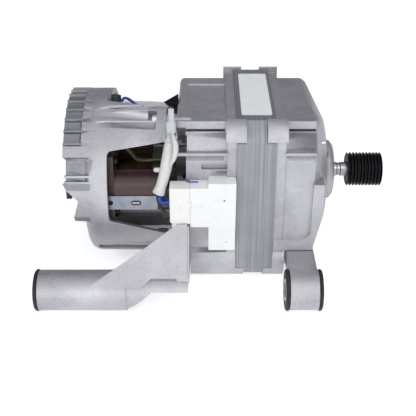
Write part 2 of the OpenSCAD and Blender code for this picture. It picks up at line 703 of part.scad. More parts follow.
// The rotor's laminations
module rotor_core() {
    slot_w = 3;
    r = stator_bore_r - air_gap;
    color("dimgray") place() along_x(0, stack_len) difference() {
        circle(r = r);
        circle(r = shaft_mid_r + fit);
        for (k = [0:rotor_slots - 1]) rotate(k * 360 / rotor_slots) translate([r - 12, -slot_w / 2]) square([14, slot_w]);
    }
}

// The rotor's winding: two round heads and the sides in the slots
module rotor_winding() {
    slot_w = 2.6;
    r = stator_bore_r - air_gap;
    lead_len = brush_x + commutator_len / 2 - 0.4;
    color("saddlebrown") place() {
        about_x([[shaft_mid_r + fit, stack_len + 0.1], [r - 2, stack_len + 0.1], [r - 2.6, stack_len + rotor_head - 5],
            [r - 7, stack_len + rotor_head], [15, stack_len + rotor_head], [shaft_mid_r + fit, stack_len + rotor_head - 4]]);
        about_x([[shaft_mid_r + fit, -0.1], [shaft_mid_r + fit, lead_len + 4], [commutator_r - 3, lead_len + 0.5],
            [commutator_r - 1, lead_len + 0.5], [commutator_r - 1.5, -rotor_head - 8], [r - 7, -rotor_head],
            [r - 2.6, -rotor_head + 5], [r - 2, -0.1]]);
        for (k = [0:rotor_slots - 1]) rotate([k * 360 / rotor_slots, 0, 0]) translate([-0.2, r - 11.8, -slot_w / 2])
            cube([stack_len + 0.4, 10.6, slot_w]);
    }
}

// The commutator, with its bars and riser
module commutator() {
    x0 = brush_x - commutator_len / 2;
    slit = 0.6;
    color("peru") place() difference() {
        about_x([[shaft_mid_r + fit, x0], [commutator_r - 1, x0], [commutator_r, x0 + 1],
            [commutator_r, x0 + commutator_len - 3], [commutator_r + 1.4, x0 + commutator_len - 2.6],
            [commutator_r + 1.4, x0 + commutator_len], [shaft_mid_r + fit, x0 + commutator_len]]);
        for (k = [0:commutator_bars - 1]) rotate([k * 360 / commutator_bars, 0, 0])
            translate([x0 - cut, commutator_r - 1, -slit / 2]) cube([commutator_len + 2 * cut, 4, slit]);
    }
}

// The shaft, stepped for its bearings and the pulley
module shaft() {
    rear_tip = cup_back - fin_h + 3.4;
    color("gainsboro") place() about_x([[0, rear_tip], [shaft_rear_r - 0.5, rear_tip], [shaft_rear_r, rear_tip + 0.5],
        [shaft_rear_r, rear_seat + rear_bearing_w + 0.1], [shaft_mid_r, rear_seat + rear_bearing_w + 0.3],
        [shaft_mid_r, front_seat - front_bearing_w - 0.3], [shaft_front_r, front_seat - front_bearing_w - 0.1],
        [shaft_front_r, hub_face + 3.2], [shaft_front_r - 0.4, hub_face + 3.8],
        [shaft_front_r - 0.4, hub_face + 5.6], [shaft_front_r, hub_face + 6.2],
        [shaft_front_r, shaft_end - 0.8], [shaft_front_r - 0.6, shaft_end - 0.2], [0, shaft_end - 0.2]]);
}

// The poly-V pulley, with a collar at each end
module pulley() {
    start = pulley_x + pulley_collar;
    mid = groove_pitch / 2 - crest;
    ribs = [for (k = [0:pulley_grooves - 1]) let (x = start + k * groove_pitch)
        each [[pulley_r, x], [pulley_r - belt_groove_depth, x + mid - crest],
            [pulley_r - belt_groove_depth, x + mid + crest], [pulley_r, x + 2 * mid]]];
    color("#202020") place() about_x(concat([[shaft_front_r + fit, pulley_x], [pulley_r - 0.6, pulley_x],
        [pulley_r, pulley_x + 0.5]], ribs, [[pulley_r, shaft_end - 0.5], [pulley_r - 0.6, shaft_end],
        [shaft_front_r + fit, shaft_end]]));
}

// Radius of the circle that the balls of a bearing run on, and of the balls
function ball_circle(outer, inner) = (outer + inner) / 2;
function ball_r(outer, inner) = (outer - inner - 2 * race_t) / 2 + 0.7;

// The outer or the inner race of a bearing, with the groove that the balls run in
module race(x0, w, r0, r1, outer, inner) {
    place() rotate([0, 90, 0]) rotate_extrude() difference() {
        translate([r0, x0]) square([r1 - r0, w]);
        translate([ball_circle(outer, inner), x0 + w / 2]) circle(r = ball_r(outer, inner) + 0.06);
    }
}

module balls(x0, w, outer, inner, count) {
    place() for (k = [0:count - 1]) rotate([k * 360 / count, 0, 0])
        translate([x0 + w / 2, 0, ball_circle(outer, inner)]) sphere(r = ball_r(outer, inner), $fn = 24);
}

module front_bearing_outer() {
    color("lightgray") race(front_seat - front_bearing_w, front_bearing_w, front_bearing_r - race_t, front_bearing_r,
        front_bearing_r, shaft_front_r + fit);
}

module front_bearing_inner() {
    color("lightgray") race(front_seat - front_bearing_w, front_bearing_w, shaft_front_r + fit,
        shaft_front_r + fit + race_t, front_bearing_r, shaft_front_r + fit);
}

module front_bearing_balls() {
    color("white") balls(front_seat - front_bearing_w, front_bearing_w, front_bearing_r, shaft_front_r + fit, 8);
}

module rear_bearing_outer() {
    color("lightgray") race(rear_seat, rear_bearing_w, rear_bearing_r - race_t + 0.6, rear_bearing_r, rear_bearing_r,
        shaft_rear_r + fit);
}

module rear_bearing_inner() {
    color("lightgray") race(rear_seat, rear_bearing_w, shaft_rear_r + fit, shaft_rear_r + fit + race_t - 0.6,
        rear_bearing_r, shaft_rear_r + fit);
}

module rear_bearing_balls() {
    color("white") balls(rear_seat, rear_bearing_w, rear_bearing_r, shaft_rear_r + fit, 7);
}

// The washer that loads the front bearing
module wave_washer() {
    color("silver") place() difference() {
        bar(front_seat + 0.05, washer_t, front_bearing_r - 0.3);
        bar(front_seat - cut, 3, front_bearing_r - 2.6);
    }
}

// The speed sensor: a magnet on the shaft, a coil around it and its cover
module tacho_magnet() {
    color("#303030") place() difference() {
        bar(fin_end + 4.2, 5, 8);
        bar(fin_end + 3, 8, shaft_rear_r + fit);
    }
}

module tacho_coil() {
    color("#7a4a28") place() difference() {
        union() {
            bar(fin_end + 2.1, 1, 17.5);
            bar(fin_end + 2.6, 6, 15);
            bar(fin_end + 8, 1, 17.5);
        }
        bar(fin_end + 2, 9, 9.4);
    }
}

module tacho_cover() {
    color("#1c1c1c") place() difference() {
        union() {
            about_x([[0, fin_end - 1.2], [15, fin_end - 1.2], [18.6, fin_end], [20, fin_end + 2.6], [20, fin_end + 9.9],
                [0, fin_end + 9.9]]);
            // The tab with its leads
            at_angle(0) translate([fin_end - 1.7, -4, 14]) cube([3.5, 8, 23]);
        }
        bar(fin_end + 2, 12, 17.6);
    }
}

// The brush gear of one side, turned to the far side by 180 degrees
module brush_frame(side) {
    place() at_angle(brush_turn + side) children();
}

// A phenolic brush holder with a rounded back and a screw flange
module brush_holder(side) {
    low = strip_low - 0.1;
    high = low + holder_w;
    guide = brush_t / 2 + 2;
    round_r = 9;
    color("#6b3a32") brush_frame(side) difference() {
        union() {
            translate([holder_x + holder_flange, 0, 0]) rotate([90, 0, 90]) linear_extrude(holder_len - holder_flange)
                polygon(concat([[low, holder_out - 12], [-guide, holder_out - 12], [-guide, holder_in], [guide, holder_in],
                    [guide, holder_out - 12], [high, holder_out - 12], [high, holder_out - round_r]],
                    [for (a = [15:15:90]) [high - round_r + round_r * cos(a), holder_out - round_r + round_r * sin(a)]],
                    [[low, holder_out]]));
            translate([holder_x, -21.5, holder_out - 14]) cube([holder_flange, 43, 12]);
            translate([holder_x, -guide, holder_in]) cube([holder_flange + 1, 2 * guide, holder_out - holder_in - 5]);
        }
        translate([brush_x - brush_len / 2 - brush_slack, -brush_t / 2 - brush_slack, 0])
            cube([brush_len + 2 * brush_slack, brush_t + 2 * brush_slack, holder_out - cap_t]);
        for (t = [-1, 1]) translate([holder_x - cut, t * pillar_t, pillar_out]) rotate([0, 90, 0])
            cylinder(h = 9, r = screw_r + 0.15);
    }
}

// The steel strip across a brush holder, with two long holes
module brush_strip(side) {
    mid = (strip_low + strip_high) / 2;
    color("lightsteelblue") brush_frame(side) difference() {
        translate([holder_x - 3, strip_low, holder_out + 0.02])
            cube([holder_len + 1.6, strip_high - strip_low, strip_t]);
        for (x = [0, 18.6]) translate([holder_x + x, mid, holder_out - cut]) {
            translate([-1.8, -1.6, 0]) cube([3.6, 3.2, 4]);
            for (s = [-1, 1]) translate([s * 1.8, 0, 0]) cylinder(h = 4, r = 1.6);
        }
    }
}

module carbon_brush(side) {
    color("#2a2a2c") brush_frame(side) difference() {
        translate([brush_x - brush_len / 2, -brush_t / 2, brush_foot - 0.4]) cube([brush_len, brush_t, brush_h + 0.4]);
        translate([brush_x - brush_len, 0, 0]) rotate([0, 90, 0]) cylinder(h = 2 * brush_len, r = brush_foot);
    }
}

// The spring of a brush: a strip rolled up on the brush's back
module brush_spring(side) {
    n = spring_turns * 20;
    core_r = 1;
    grow = (spring_r - core_r - spring_strip) / n;
    function at(i, more) = (core_r + grow * i + more) * [cos(i * 18), sin(i * 18)];
    color("silver") brush_frame(side) translate([brush_x - brush_len / 3, 0, brush_top + spring_r + 0.02])
        rotate([90, 0, 90]) linear_extrude(brush_len * 2 / 3)
            polygon(concat([for (i = [0:n]) at(i, spring_strip)], [for (i = [n:-1:0]) at(i, 0)]));
}

// The white terminal header, stepped as a block of two heights
module terminal_header() {
    gap = 0.05;
    color("white") place() difference() {
        union() {
            towards_near(header_y + gap, header_t - gap) polygon([[header_x0, header_low], [header_step, header_low],
                [header_step, header_bottom], [-0.6, header_bottom], [-0.3, header_top], [header_step, header_top],
                [header_step, header_high], [header_x0, header_high]]);
            translate([header_x0 + 1, -header_y - header_t - 0.5, 4.4]) cube([6.5, 1, 5.6]);
        }
        // The room for the flange of the rear shell
        translate([-ear_len + 0.9, -shell_half - 2.05, header_bottom - cut])
            cube([ear_len, 4, header_top - header_bottom + 2 * cut]);
        // The row of contact chambers, open to the plug's side
        for (z = [-5.5:6:14]) translate([header_x0 - cut, -header_y - header_t + 3, z]) cube([10, 6, 4]);
    }
}

// The plug on the header, with its latch tongue
module wire_plug() {
    color("ivory") place() difference() {
        union() {
            towards_near(plug_y, plug_t) polygon([[header_x0 - plug_len, plug_bottom + 1.4], [header_x0 - plug_len + 1.4, plug_bottom],
                [header_x0 - 0.1, plug_bottom], [header_x0 - 0.1, plug_high], [header_x0 - plug_len, plug_high]]);
            translate([header_x0 - 7, -plug_y - plug_t - 0.8, 4.6]) cube([7.8, 1, 5.2]);
        }
        // The wire openings
        for (z = [-2.2, 6.6, 16]) translate([header_x0 - plug_len - cut, -plug_y - 8.6, z - 2]) cube([1 + cut, 6.4, 4]);
    }
}

module wire_sleeve() {
    color("whitesmoke") place() swept(smooth(beside(sleeving_route), 2), sleeving_r, 10);
}

// Turns a child's Z axis to a direction
module towards(d) {
    rotate([0, acos(d[2] / norm(d)), atan2(d[1], d[0])]) children();
}

// The cable tie around the top of the sleeve, with its upright head and tail
module cable_tie() {
    path = smooth(beside(sleeving_route), 2);
    color("white") place() {
        difference() {
            union() {
                translate(path[1]) towards(path[2] - path[0]) cylinder(h = 3.4, r = sleeving_r + 1, center = true);
                translate([-rear_shell_len - 6.2, 2 - shell_half, 49.6]) cube([5.8, 5, 8]);
                translate([-rear_shell_len - 4.9, 2.8 - shell_half, 57.2]) cube([3.4, 1.2, 9.6]);
            }
            translate(path[1]) towards(path[2] - path[0]) cylinder(h = 22, r = sleeving_r + 0.05, center = true);
            // The room for the rear shell
            translate([-rear_shell_len - 0.15, -60, 30]) cube([10, 30, 40]);
        }
    }
}

module blue_wire() {
    color("#1d55c4") place() swept(smooth(beside(blue_route), 2), wire_r + 0.1);
}

module brown_wire() {
    color("#6b3a1e") place() swept(smooth(beside(brown_route), 2), wire_r - 0.2);
}

module black_wire() {
    color("#181818") place() swept(smooth(beside(black_route), 2), wire_r - 0.2);
}

module earth_wire() {
    color("yellowgreen") place() swept(smooth(earth_route, 2), wire_r);
}

module lead_wire() {
    color("#1d55c4") place() swept(smooth(lead_route, 2), wire_r - 0.3);
}

// The rubber grommet in the corner of the far window
module grommet() {
    color("#141414") place() at_angle(122) translate([window_x + 3.45, -34.55, 38]) cylinder(h = 8.4, r = 3.3);
}

// A round piece along the line of the near lug, moved to the far side when asked
module on_lug(side) {
    place() mirror([0, side, 0]) translate([0, -lug_y, -lug_drop]) children();
}

// A rubber collar with rounded edges
module collar(x0, len) {
    about_x([[0, x0], [bush_collar_r - 0.8, x0], [bush_collar_r, x0 + 0.8], [bush_collar_r, x0 + len - 0.8],
        [bush_collar_r - 0.8, x0 + len], [0, x0 + len]]);
}

module rear_bush(side) {
    color("#222222") on_lug(side) difference() {
        union() {
            collar(rear_end, bush_collar);
            bar(rear_lug_out - cut, rear_bush_depth + cut, lug_bore_r - 0.03);
        }
        bar(rear_end - cut, rear_bush_depth + bush_collar + 2 * cut, sleeve_r + 0.03);
    }
}

module front_bush(side) {
    color("#222222") on_lug(side) difference() {
        union() {
            collar(front_lug_in - bush_collar, bush_collar - 0.02);
            bar(front_lug_in - cut, front_lug_len + 2 * cut, lug_bore_r - 0.03);
            collar(front_lug_out + 0.02, front_collar);
        }
        bar(front_lug_in - bush_collar - cut, front_lug_len + bush_collar + front_collar + 3 * cut, sleeve_r + 0.03);
    }
}

// A steel sleeve in a bush
module lug_sleeve(x0, len, side) {
    color("silver") on_lug(side) difference() {
        bar(x0, len, sleeve_r);
        bar(x0 - cut, len + 2 * cut, sleeve_bore_r);
    }
}

// A screw along the shaft, with a flat head at x and its tip towards -X or +X
module screw(x, len, r, head_r, head_h, way) {
    translate([x, 0, 0]) rotate([0, way * 90, 0]) difference() {
        union() {
            cylinder(h = len, r = r);
            translate([0, 0, -head_h]) cylinder(h = head_h, r = head_r);
        }
        translate([0, 0, -head_h - cut]) cylinder(h = head_h / 2 + cut, r = r * 0.9, $fn = 6);
    }
}

module bracket_screws() {
    color("gold") place() for (angle = leg_angles) at_angle(angle) translate([0, 0, leg_screw_c])
        screw(foot_x - foot_len - 0.02, foot_len + 7, leg_screw_r, 4.2, 3, 1);
}

module housing_bolts() {
    head = -rear_shell_len + bolt_pocket;
    color("silver") place() four_corners() translate([0, -bolt_c, bolt_c])
        screw(head - 0.02, front_face + ear_len - head - 0.6, bolt_r, 4.6, 3.6, 1);
}

module brush_screws() {
    color("gold") for (side = [0, 180], t = [-1, 1]) brush_frame(side) translate([0, t * pillar_t, pillar_out])
        screw(holder_x + holder_flange + 0.02, holder_flange + 7, screw_r, 3.6, 2.2, -1);
}

rear_bracket();
rear_shell();
rear_arm(0);  // rear_arm_near
rear_arm(1);  // rear_arm_far
front_shell();
stator_core();
field_coil(0);  // field_coil_upper
field_coil(180);  // field_coil_lower
coil_film();
rotor_core();
rotor_winding();
commutator();
shaft();
pulley();
front_bearing_outer();
front_bearing_inner();
front_bearing_balls();
rear_bearing_outer();
rear_bearing_inner();
rear_bearing_balls();
wave_washer();
tacho_magnet();
tacho_coil();
tacho_cover();
brush_holder(0);  // brush_holder_near
brush_holder(180);  // brush_holder_far
brush_strip(0);  // brush_strip_near
brush_strip(180);  // brush_strip_far
carbon_brush(0);  // carbon_brush_near
carbon_brush(180);  // carbon_brush_far
brush_spring(0);  // brush_spring_near
brush_spring(180);  // brush_spring_far
terminal_header();
wire_plug();
wire_sleeve();
cable_tie();
blue_wire();
brown_wire();
black_wire();
earth_wire();
lead_wire();
grommet();
rear_bush(0);  // rear_bush_near
rear_bush(1);  // rear_bush_far
front_bush(0);  // front_bush_near
front_bush(1);  // front_bush_far
lug_sleeve(rear_end, bush_collar + rear_bush_depth, 0);  // rear_sleeve_near
lug_sleeve(rear_end, bush_collar + rear_bush_depth, 1);  // rear_sleeve_far
lug_sleeve(front_lug_in - bush_collar, bush_collar + front_lug_len + front_collar, 0);  // front_sleeve_near
lug_sleeve(front_lug_in - bush_collar, bush_collar + front_lug_len + front_collar, 1);  // front_sleeve_far
bracket_screws();
housing_bolts();
brush_screws();
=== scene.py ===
# %% [markdown]
# # The motor of a washing machine
# This lesson dresses a motor that was drawn in CAD. The solids are right already, so the work here is
# on finishes, on the soft pieces that CAD could only draw plainly, and on a few small details.
# The solids stay where they are: each one is an object at the origin whose place is in its mesh.

# %% Load the solids
import math

import bpy
from mathutils import Matrix, Vector


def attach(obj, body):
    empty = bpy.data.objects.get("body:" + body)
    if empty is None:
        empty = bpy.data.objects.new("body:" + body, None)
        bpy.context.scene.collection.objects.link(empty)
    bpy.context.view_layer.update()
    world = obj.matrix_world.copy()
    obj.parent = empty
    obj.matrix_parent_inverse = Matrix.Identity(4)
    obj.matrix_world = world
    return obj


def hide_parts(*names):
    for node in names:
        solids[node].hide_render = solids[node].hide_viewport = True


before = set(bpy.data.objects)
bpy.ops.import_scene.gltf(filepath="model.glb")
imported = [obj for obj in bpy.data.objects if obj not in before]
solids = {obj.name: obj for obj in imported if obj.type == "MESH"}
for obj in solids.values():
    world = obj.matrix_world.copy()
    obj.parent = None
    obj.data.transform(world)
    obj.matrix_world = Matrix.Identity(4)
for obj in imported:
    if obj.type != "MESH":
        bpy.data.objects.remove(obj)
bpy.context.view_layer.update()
bpy.ops.object.select_all(action="DESELECT")
print("solids loaded:", len(solids))

# %% [markdown]
# ## The shaft frame
# The CAD drawing counts lengths along the shaft from the rear face of the lamination stack, and heights
# from the shaft's axis. Small pieces are easier to place in those numbers, so one helper turns such a
# place, in millimetres, into a point of the scene, in metres.

# %% The shaft frame
STACK_X = 12.95
AXIS_H = 59.2


def place(x, y, z):
    """A point in the frame of the shaft, in millimetres, as a point of the scene."""
    return Vector(((x + STACK_X) / 1000, y / 1000, (z + AXIS_H) / 1000))


print("the shaft's axis is", round(place(0, 0, 0).z * 1000, 1), "mm above the floor")

# %% [markdown]
# ## The camera
# The photograph was taken from in front of the motor's side, a little from above. The lens and the
# place were worked out from points that are easy to find: the ribs of the pulley, the corners of the
# stack and the ends of the lugs. The sensor is 36 mm wide, and the picture is square.

# %% The camera
CAMERA_AT = (-0.00525, -0.5178, 0.3206)
CAMERA_TILT = 60.46
LENS = 70.53
SENSOR = 36
bpy.ops.object.camera_add(location=CAMERA_AT, rotation=(math.radians(CAMERA_TILT), 0, 0))
camera = bpy.context.object
camera.data.lens = LENS
camera.data.sensor_width = SENSOR
camera.data.clip_start = 0.01
bpy.context.scene.camera = camera
bpy.context.scene.view_settings.view_transform = "Standard"
print("camera placed with a lens of", round(camera.data.lens, 1), "mm")

# %% [markdown]
# ## Colours and nodes
# A hex colour is written as the eye sees it, while a shader works with linear light, so one function
# turns the first into the second. Another adds a shader node, sets its values and makes its links, so
# that a material reads from top to bottom like a recipe.

# %% Helpers for colours and nodes
def linear(code):
    """The linear colour of a hex colour, with nothing clear about it."""
    parts = [int(code[i:i + 2], 16) / 255 for i in (1, 3, 5)]
    return [v / 12.92 if v <= 0.04045 else ((v + 0.055) / 1.055) ** 2.4 for v in parts] + [1.0]


def add(tree, kind, sockets=None, ramp=None, **settings):
    """A new node: its settings, its sockets' values or links, and the stops of its ramp."""
    node = tree.nodes.new(kind)
    for name, value in settings.items():
        setattr(node, name, value)
    for name, value in (sockets or {}).items():
        socket = next(s for s in node.inputs if s.name == name and s.enabled)
        if isinstance(value, tuple) and isinstance(value[0], bpy.types.Node):
            source = next(s for s in value[0].outputs if s.name == value[1] and s.enabled)
            tree.links.new(source, socket)
        else:
            socket.default_value = linear(value) if isinstance(value, str) else value
    if ramp:
        stops = node.color_ramp.elements
        while len(stops) < len(ramp):
            stops.new(1.0)
        for stop, (position, code) in zip(stops, ramp):
            stop.position = position
            stop.color = linear(code)
    return node


def start(name, **shader):
    """A new material with its constant shader values; gives its tree, shader and coordinates."""
    made = bpy.data.materials.new(name)
    made.use_nodes = True
    tree = made.node_tree
    surface = tree.nodes["Principled BSDF"]
    for socket, value in shader.items():
        surface.inputs[socket.replace("_", " ")].default_value = value
    return made, tree, surface, add(tree, "ShaderNodeTexCoord")


def per(millimetres):
    """The scale of a noise whose blobs are about this many millimetres across."""
    return 1000 / millimetres


def feed(tree, surface, **sockets):
    """Links nodes into the shader's sockets."""
    for name, (node, output) in sockets.items():
        tree.links.new(node.outputs[output], surface.inputs[name.replace("_", " ")])


print("helpers ready")

# %% [markdown]
# ## Die-cast aluminium
# The shells and the rear bracket are pressure die-castings, tumbled and left bare. The eye sees a pale
# grey metal without gloss, cloudy where the melt cooled at different speeds, with a fine pebbled skin
# and edges painted lighter, partly for the rubbing of the tumbling and partly as a painted highlight along
# each edge. The bevel node rounds the edges in the shading alone, and the difference between the rounded
# and the true normal finds the edges for this lighter paint.

# %% Material: die-cast aluminium
cast, tree, surface, where = start("die_cast_aluminium", Metallic=0.82)
clouds = add(tree, "ShaderNodeTexNoise", {"Vector": (where, "Object"), "Scale": per(34), "Detail": 4.0,
    "Roughness": 0.6})
# The real skin is pebbled at about 0.3 mm; it is drawn at 0.9 mm so that it still shows
pebbles = add(tree, "ShaderNodeTexNoise", {"Vector": (where, "Object"), "Scale": per(0.9), "Detail": 3.0,
    "Roughness": 0.7})
specks = add(tree, "ShaderNodeTexNoise", {"Vector": (where, "Object"), "Scale": per(2.4), "Detail": 5.0,
    "Roughness": 0.75})
tone = add(tree, "ShaderNodeValToRGB", {"Fac": (clouds, "Fac")},
    ramp=[(0.3, "#A8A7AC"), (0.52, "#B7B6BB"), (0.72, "#C4C3C8")])
dust = add(tree, "ShaderNodeValToRGB", {"Fac": (specks, "Fac")},
    ramp=[(0.34, "#C9CACB"), (0.5, "#FFFFFF"), (0.7, "#F3F4F4")])
toned = add(tree, "ShaderNodeMix", {"Factor": 0.5, "A": (tone, "Color"), "B": (dust, "Color")},
    data_type="RGBA", blend_type="MULTIPLY")
rounded = add(tree, "ShaderNodeBevel", {"Radius": 0.0006}, samples=4)
true_normal = add(tree, "ShaderNodeNewGeometry")
agree = add(tree, "ShaderNodeVectorMath", {}, operation="DOT_PRODUCT")
tree.links.new(rounded.outputs["Normal"], agree.inputs[0])
tree.links.new(true_normal.outputs["Normal"], agree.inputs[1])
# Edges are painted lighter: partly rubbed wear, partly a painted highlight
rubbed_and_lit_edge = add(tree, "ShaderNodeMapRange", {"Value": (agree, "Value"), "From Min": 0.99, "From Max": 0.86,
    "To Min": 0.0, "To Max": 0.55})
edges_worn_and_highlit = add(tree, "ShaderNodeMix", {"Factor": (rubbed_and_lit_edge, "Result"), "A": (toned, "Result"), "B": "#DCDBE0"},
    data_type="RGBA")
gloss = add(tree, "ShaderNodeMapRange", {"Value": (specks, "Fac"), "From Min": 0.3, "From Max": 0.7,
    "To Min": 0.46, "To Max": 0.6})
skin = add(tree, "ShaderNodeBump", {"Height": (pebbles, "Fac"), "Strength": 0.28, "Distance": 0.0004,
    "Normal": (rounded, "Normal")})
feed(tree, surface, Base_Color=(edges_worn_and_highlit, "Result"), Roughness=(gloss, "Result"), Normal=(skin, "Normal"))
# The finned rim gets a darker copy of the metal, as painted shade
shaded_rim_cast = cast.copy()
shaded_rim_cast.name = "die_cast_aluminium_painted_shade"
shaded_rim_stops = shaded_rim_cast.node_tree.nodes[tone.name].color_ramp.elements
for stop, code in zip(shaded_rim_stops, ("#828489", "#929499", "#A2A4A9")):
    stop.color = linear(code)
print("made", cast.name, shaded_rim_cast.name)

# %% [markdown]
# ## Electrical steel
# The stack is some fifty sheets of silicon steel, punched and pressed together. On the sides the sheets'
# edges show as upright lines, some a shade darker where the punch has smeared them. A noise that is
# squeezed along the shaft and stretched across it gives lines of unequal weight, as real ones have.

# %% Material: stacked electrical steel
laminated, tree, surface, where = start("stacked_electrical_steel", Metallic=0.7)
# Sheets are 0.5 mm thick; the lines are drawn at 0.8 mm and 2.2 mm so that they still show
fine = add(tree, "ShaderNodeMapping", {"Vector": (where, "Object"), "Scale": (per(0.8), 9.0, 9.0)})
fine_lines = add(tree, "ShaderNodeTexNoise", {"Vector": (fine, "Vector"), "Scale": 1.0, "Detail": 1.0})
broad = add(tree, "ShaderNodeMapping", {"Vector": (where, "Object"), "Scale": (per(2.2), 4.0, 4.0)})
broad_lines = add(tree, "ShaderNodeTexNoise", {"Vector": (broad, "Vector"), "Scale": 1.0, "Detail": 2.0})
fine_tone = add(tree, "ShaderNodeValToRGB", {"Fac": (fine_lines, "Fac")},
    ramp=[(0.32, "#7F8185"), (0.5, "#929498"), (0.68, "#A2A4A8")])
broad_tone = add(tree, "ShaderNodeValToRGB", {"Fac": (broad_lines, "Fac")},
    ramp=[(0.35, "#8E9094"), (0.6, "#989A9E")])
sheets = add(tree, "ShaderNodeMix", {"Factor": 0.45, "A": (fine_tone, "Color"), "B": (broad_tone, "Color")},
    data_type="RGBA")
stain = add(tree, "ShaderNodeTexNoise", {"Vector": (where, "Object"), "Scale": per(12), "Detail": 3.0})
matt = add(tree, "ShaderNodeMapRange", {"Value": (stain, "Fac"), "From Min": 0.3, "From Max": 0.7,
    "To Min": 0.42, "To Max": 0.58})
ledges = add(tree, "ShaderNodeBump", {"Height": (fine_lines, "Fac"), "Strength": 0.5, "Distance": 0.0003})
feed(tree, surface, Base_Color=(sheets, "Result"), Roughness=(matt, "Result"), Normal=(ledges, "Normal"))
print("made", laminated.name)

# %% [markdown]
# ## Turned and ground steel
# The shaft and the steel sleeves are turned on a lathe and ground. Fine rings run round them, which
# stretch the reflections along the shaft. The bearings are harder and brighter, from the same recipe.

# %% Materials: turned steel and bearing steel
def turned_metal(name, dark, light, ring, low, high):
    """A turned metal: its two tones, the width of its rings and its roughness."""
    made, tree, surface, where = start(name, Metallic=1.0)
    along = add(tree, "ShaderNodeMapping", {"Vector": (where, "Object"), "Scale": (per(ring), 6.0, 6.0)})
    rings = add(tree, "ShaderNodeTexNoise", {"Vector": (along, "Vector"), "Scale": 1.0, "Detail": 2.0})
    haze = add(tree, "ShaderNodeTexNoise", {"Vector": (where, "Object"), "Scale": per(5), "Detail": 4.0})
    tone = add(tree, "ShaderNodeValToRGB", {"Fac": (haze, "Fac")}, ramp=[(0.3, dark), (0.7, light)])
    worn = add(tree, "ShaderNodeMapRange", {"Value": (rings, "Fac"), "From Min": 0.3, "From Max": 0.7,
        "To Min": low, "To Max": high})
    cuts = add(tree, "ShaderNodeBump", {"Height": (rings, "Fac"), "Strength": 0.05, "Distance": 0.0001})
    feed(tree, surface, Base_Color=(tone, "Color"), Roughness=(worn, "Result"), Normal=(cuts, "Normal"))
    return made


turned = turned_metal("turned_steel", "#8F9094", "#A6A7AA", 0.9, 0.24, 0.3)
bearing = turned_metal("bearing_steel", "#C6C8CA", "#E2E3E4", 0.4, 0.12, 0.24)
zinc = turned_metal("zinc_plated_steel", "#B3B6B8", "#DADCDC", 0.6, 0.22, 0.38)
strip_steel = turned_metal("blued_spring_strip", "#70757E", "#868B94", 1.4, 0.34, 0.42)
print("made", turned.name, bearing.name, zinc.name, strip_steel.name)

# %% [markdown]
# ## Copper
# The windings are enamelled wire, a deep varnished brown; a thread of painted highlight lies on each turn,
# with painted shade between the turns. The commutator's bars are bare copper, darkened to a chocolate film
# where the brushes run.

# %% Materials: enamelled wire and commutator copper
winding, tree, surface, where = start("enamelled_copper_wire", Metallic=0.55, Coat_Weight=0.5,
    Coat_Roughness=0.25)
# Wires are 0.5 to 0.9 mm thick. The bands are drawn 1.8 mm apart so that they still show: a wave's
# bands are 0.314 of the given width apart
turns = add(tree, "ShaderNodeTexWave", {"Vector": (where, "Object"), "Scale": per(5.6), "Distortion": 1.2,
    "Detail": 2.0, "Detail Scale": 2.0}, bands_direction="Z")
varnish = add(tree, "ShaderNodeTexNoise", {"Vector": (where, "Object"), "Scale": per(7), "Detail": 4.0})
# The ramp paints shade between the turns and a highlight on each turn
turn_highlight_and_shade = add(tree, "ShaderNodeValToRGB", {"Fac": (turns, "Fac")},
    ramp=[(0.1, "#080504"), (0.6, "#1C110C"), (0.95, "#33201A")])
varnish_and_painted_light = add(tree, "ShaderNodeMix", {"Factor": (varnish, "Fac"), "A": (turn_highlight_and_shade, "Color"), "B": "#120B09"},
    data_type="RGBA")
wires = add(tree, "ShaderNodeBump", {"Height": (turns, "Fac"), "Strength": 0.7, "Distance": 0.0006})
feed(tree, surface, Base_Color=(varnish_and_painted_light, "Result"), Normal=(wires, "Normal"))
commutator_copper = turned_metal("commutator_copper", "#20130F", "#3A261E", 0.7, 0.35, 0.55)
print("made", winding.name, commutator_copper.name)

# %% [markdown]
# ## Rubber
# The bushes are black natural rubber. Moulded rubber is nearly matt, with a bloom of grey dust, and a
# skin like fine leather from the mould.

# %% Material: moulded rubber
rubber, tree, surface, where = start("moulded_black_rubber", Specular_IOR_Level=0.35)
bloom = add(tree, "ShaderNodeTexNoise", {"Vector": (where, "Object"), "Scale": per(6), "Detail": 5.0,
    "Roughness": 0.7})
rubber_tone = add(tree, "ShaderNodeValToRGB", {"Fac": (bloom, "Fac")},
    ramp=[(0.35, "#1C1D1F"), (0.6, "#2C2E30"), (0.8, "#45474A")])
leather = add(tree, "ShaderNodeTexNoise", {"Vector": (where, "Object"), "Scale": per(0.8), "Detail": 3.0})
rubber_matt = add(tree, "ShaderNodeMapRange", {"Value": (bloom, "Fac"), "From Min": 0.3, "From Max": 0.8,
    "To Min": 0.55, "To Max": 0.82})
rubber_skin = add(tree, "ShaderNodeBump", {"Height": (leather, "Fac"), "Strength": 0.3, "Distance": 0.0004})
feed(tree, surface, Base_Color=(rubber_tone, "Color"), Roughness=(rubber_matt, "Result"),
    Normal=(rubber_skin, "Normal"))
print("made", rubber.name)

# %% [markdown]
# ## Moulded plastics
# The speed sensor's cover, the plug, the header and the brush holders are injection-moulded. One recipe
# serves them all: two close tones, a little gloss that varies, and a faint orange-peel skin. What
# changes is the colour, how coarse the mottling is and how matt the mould has left the surface.

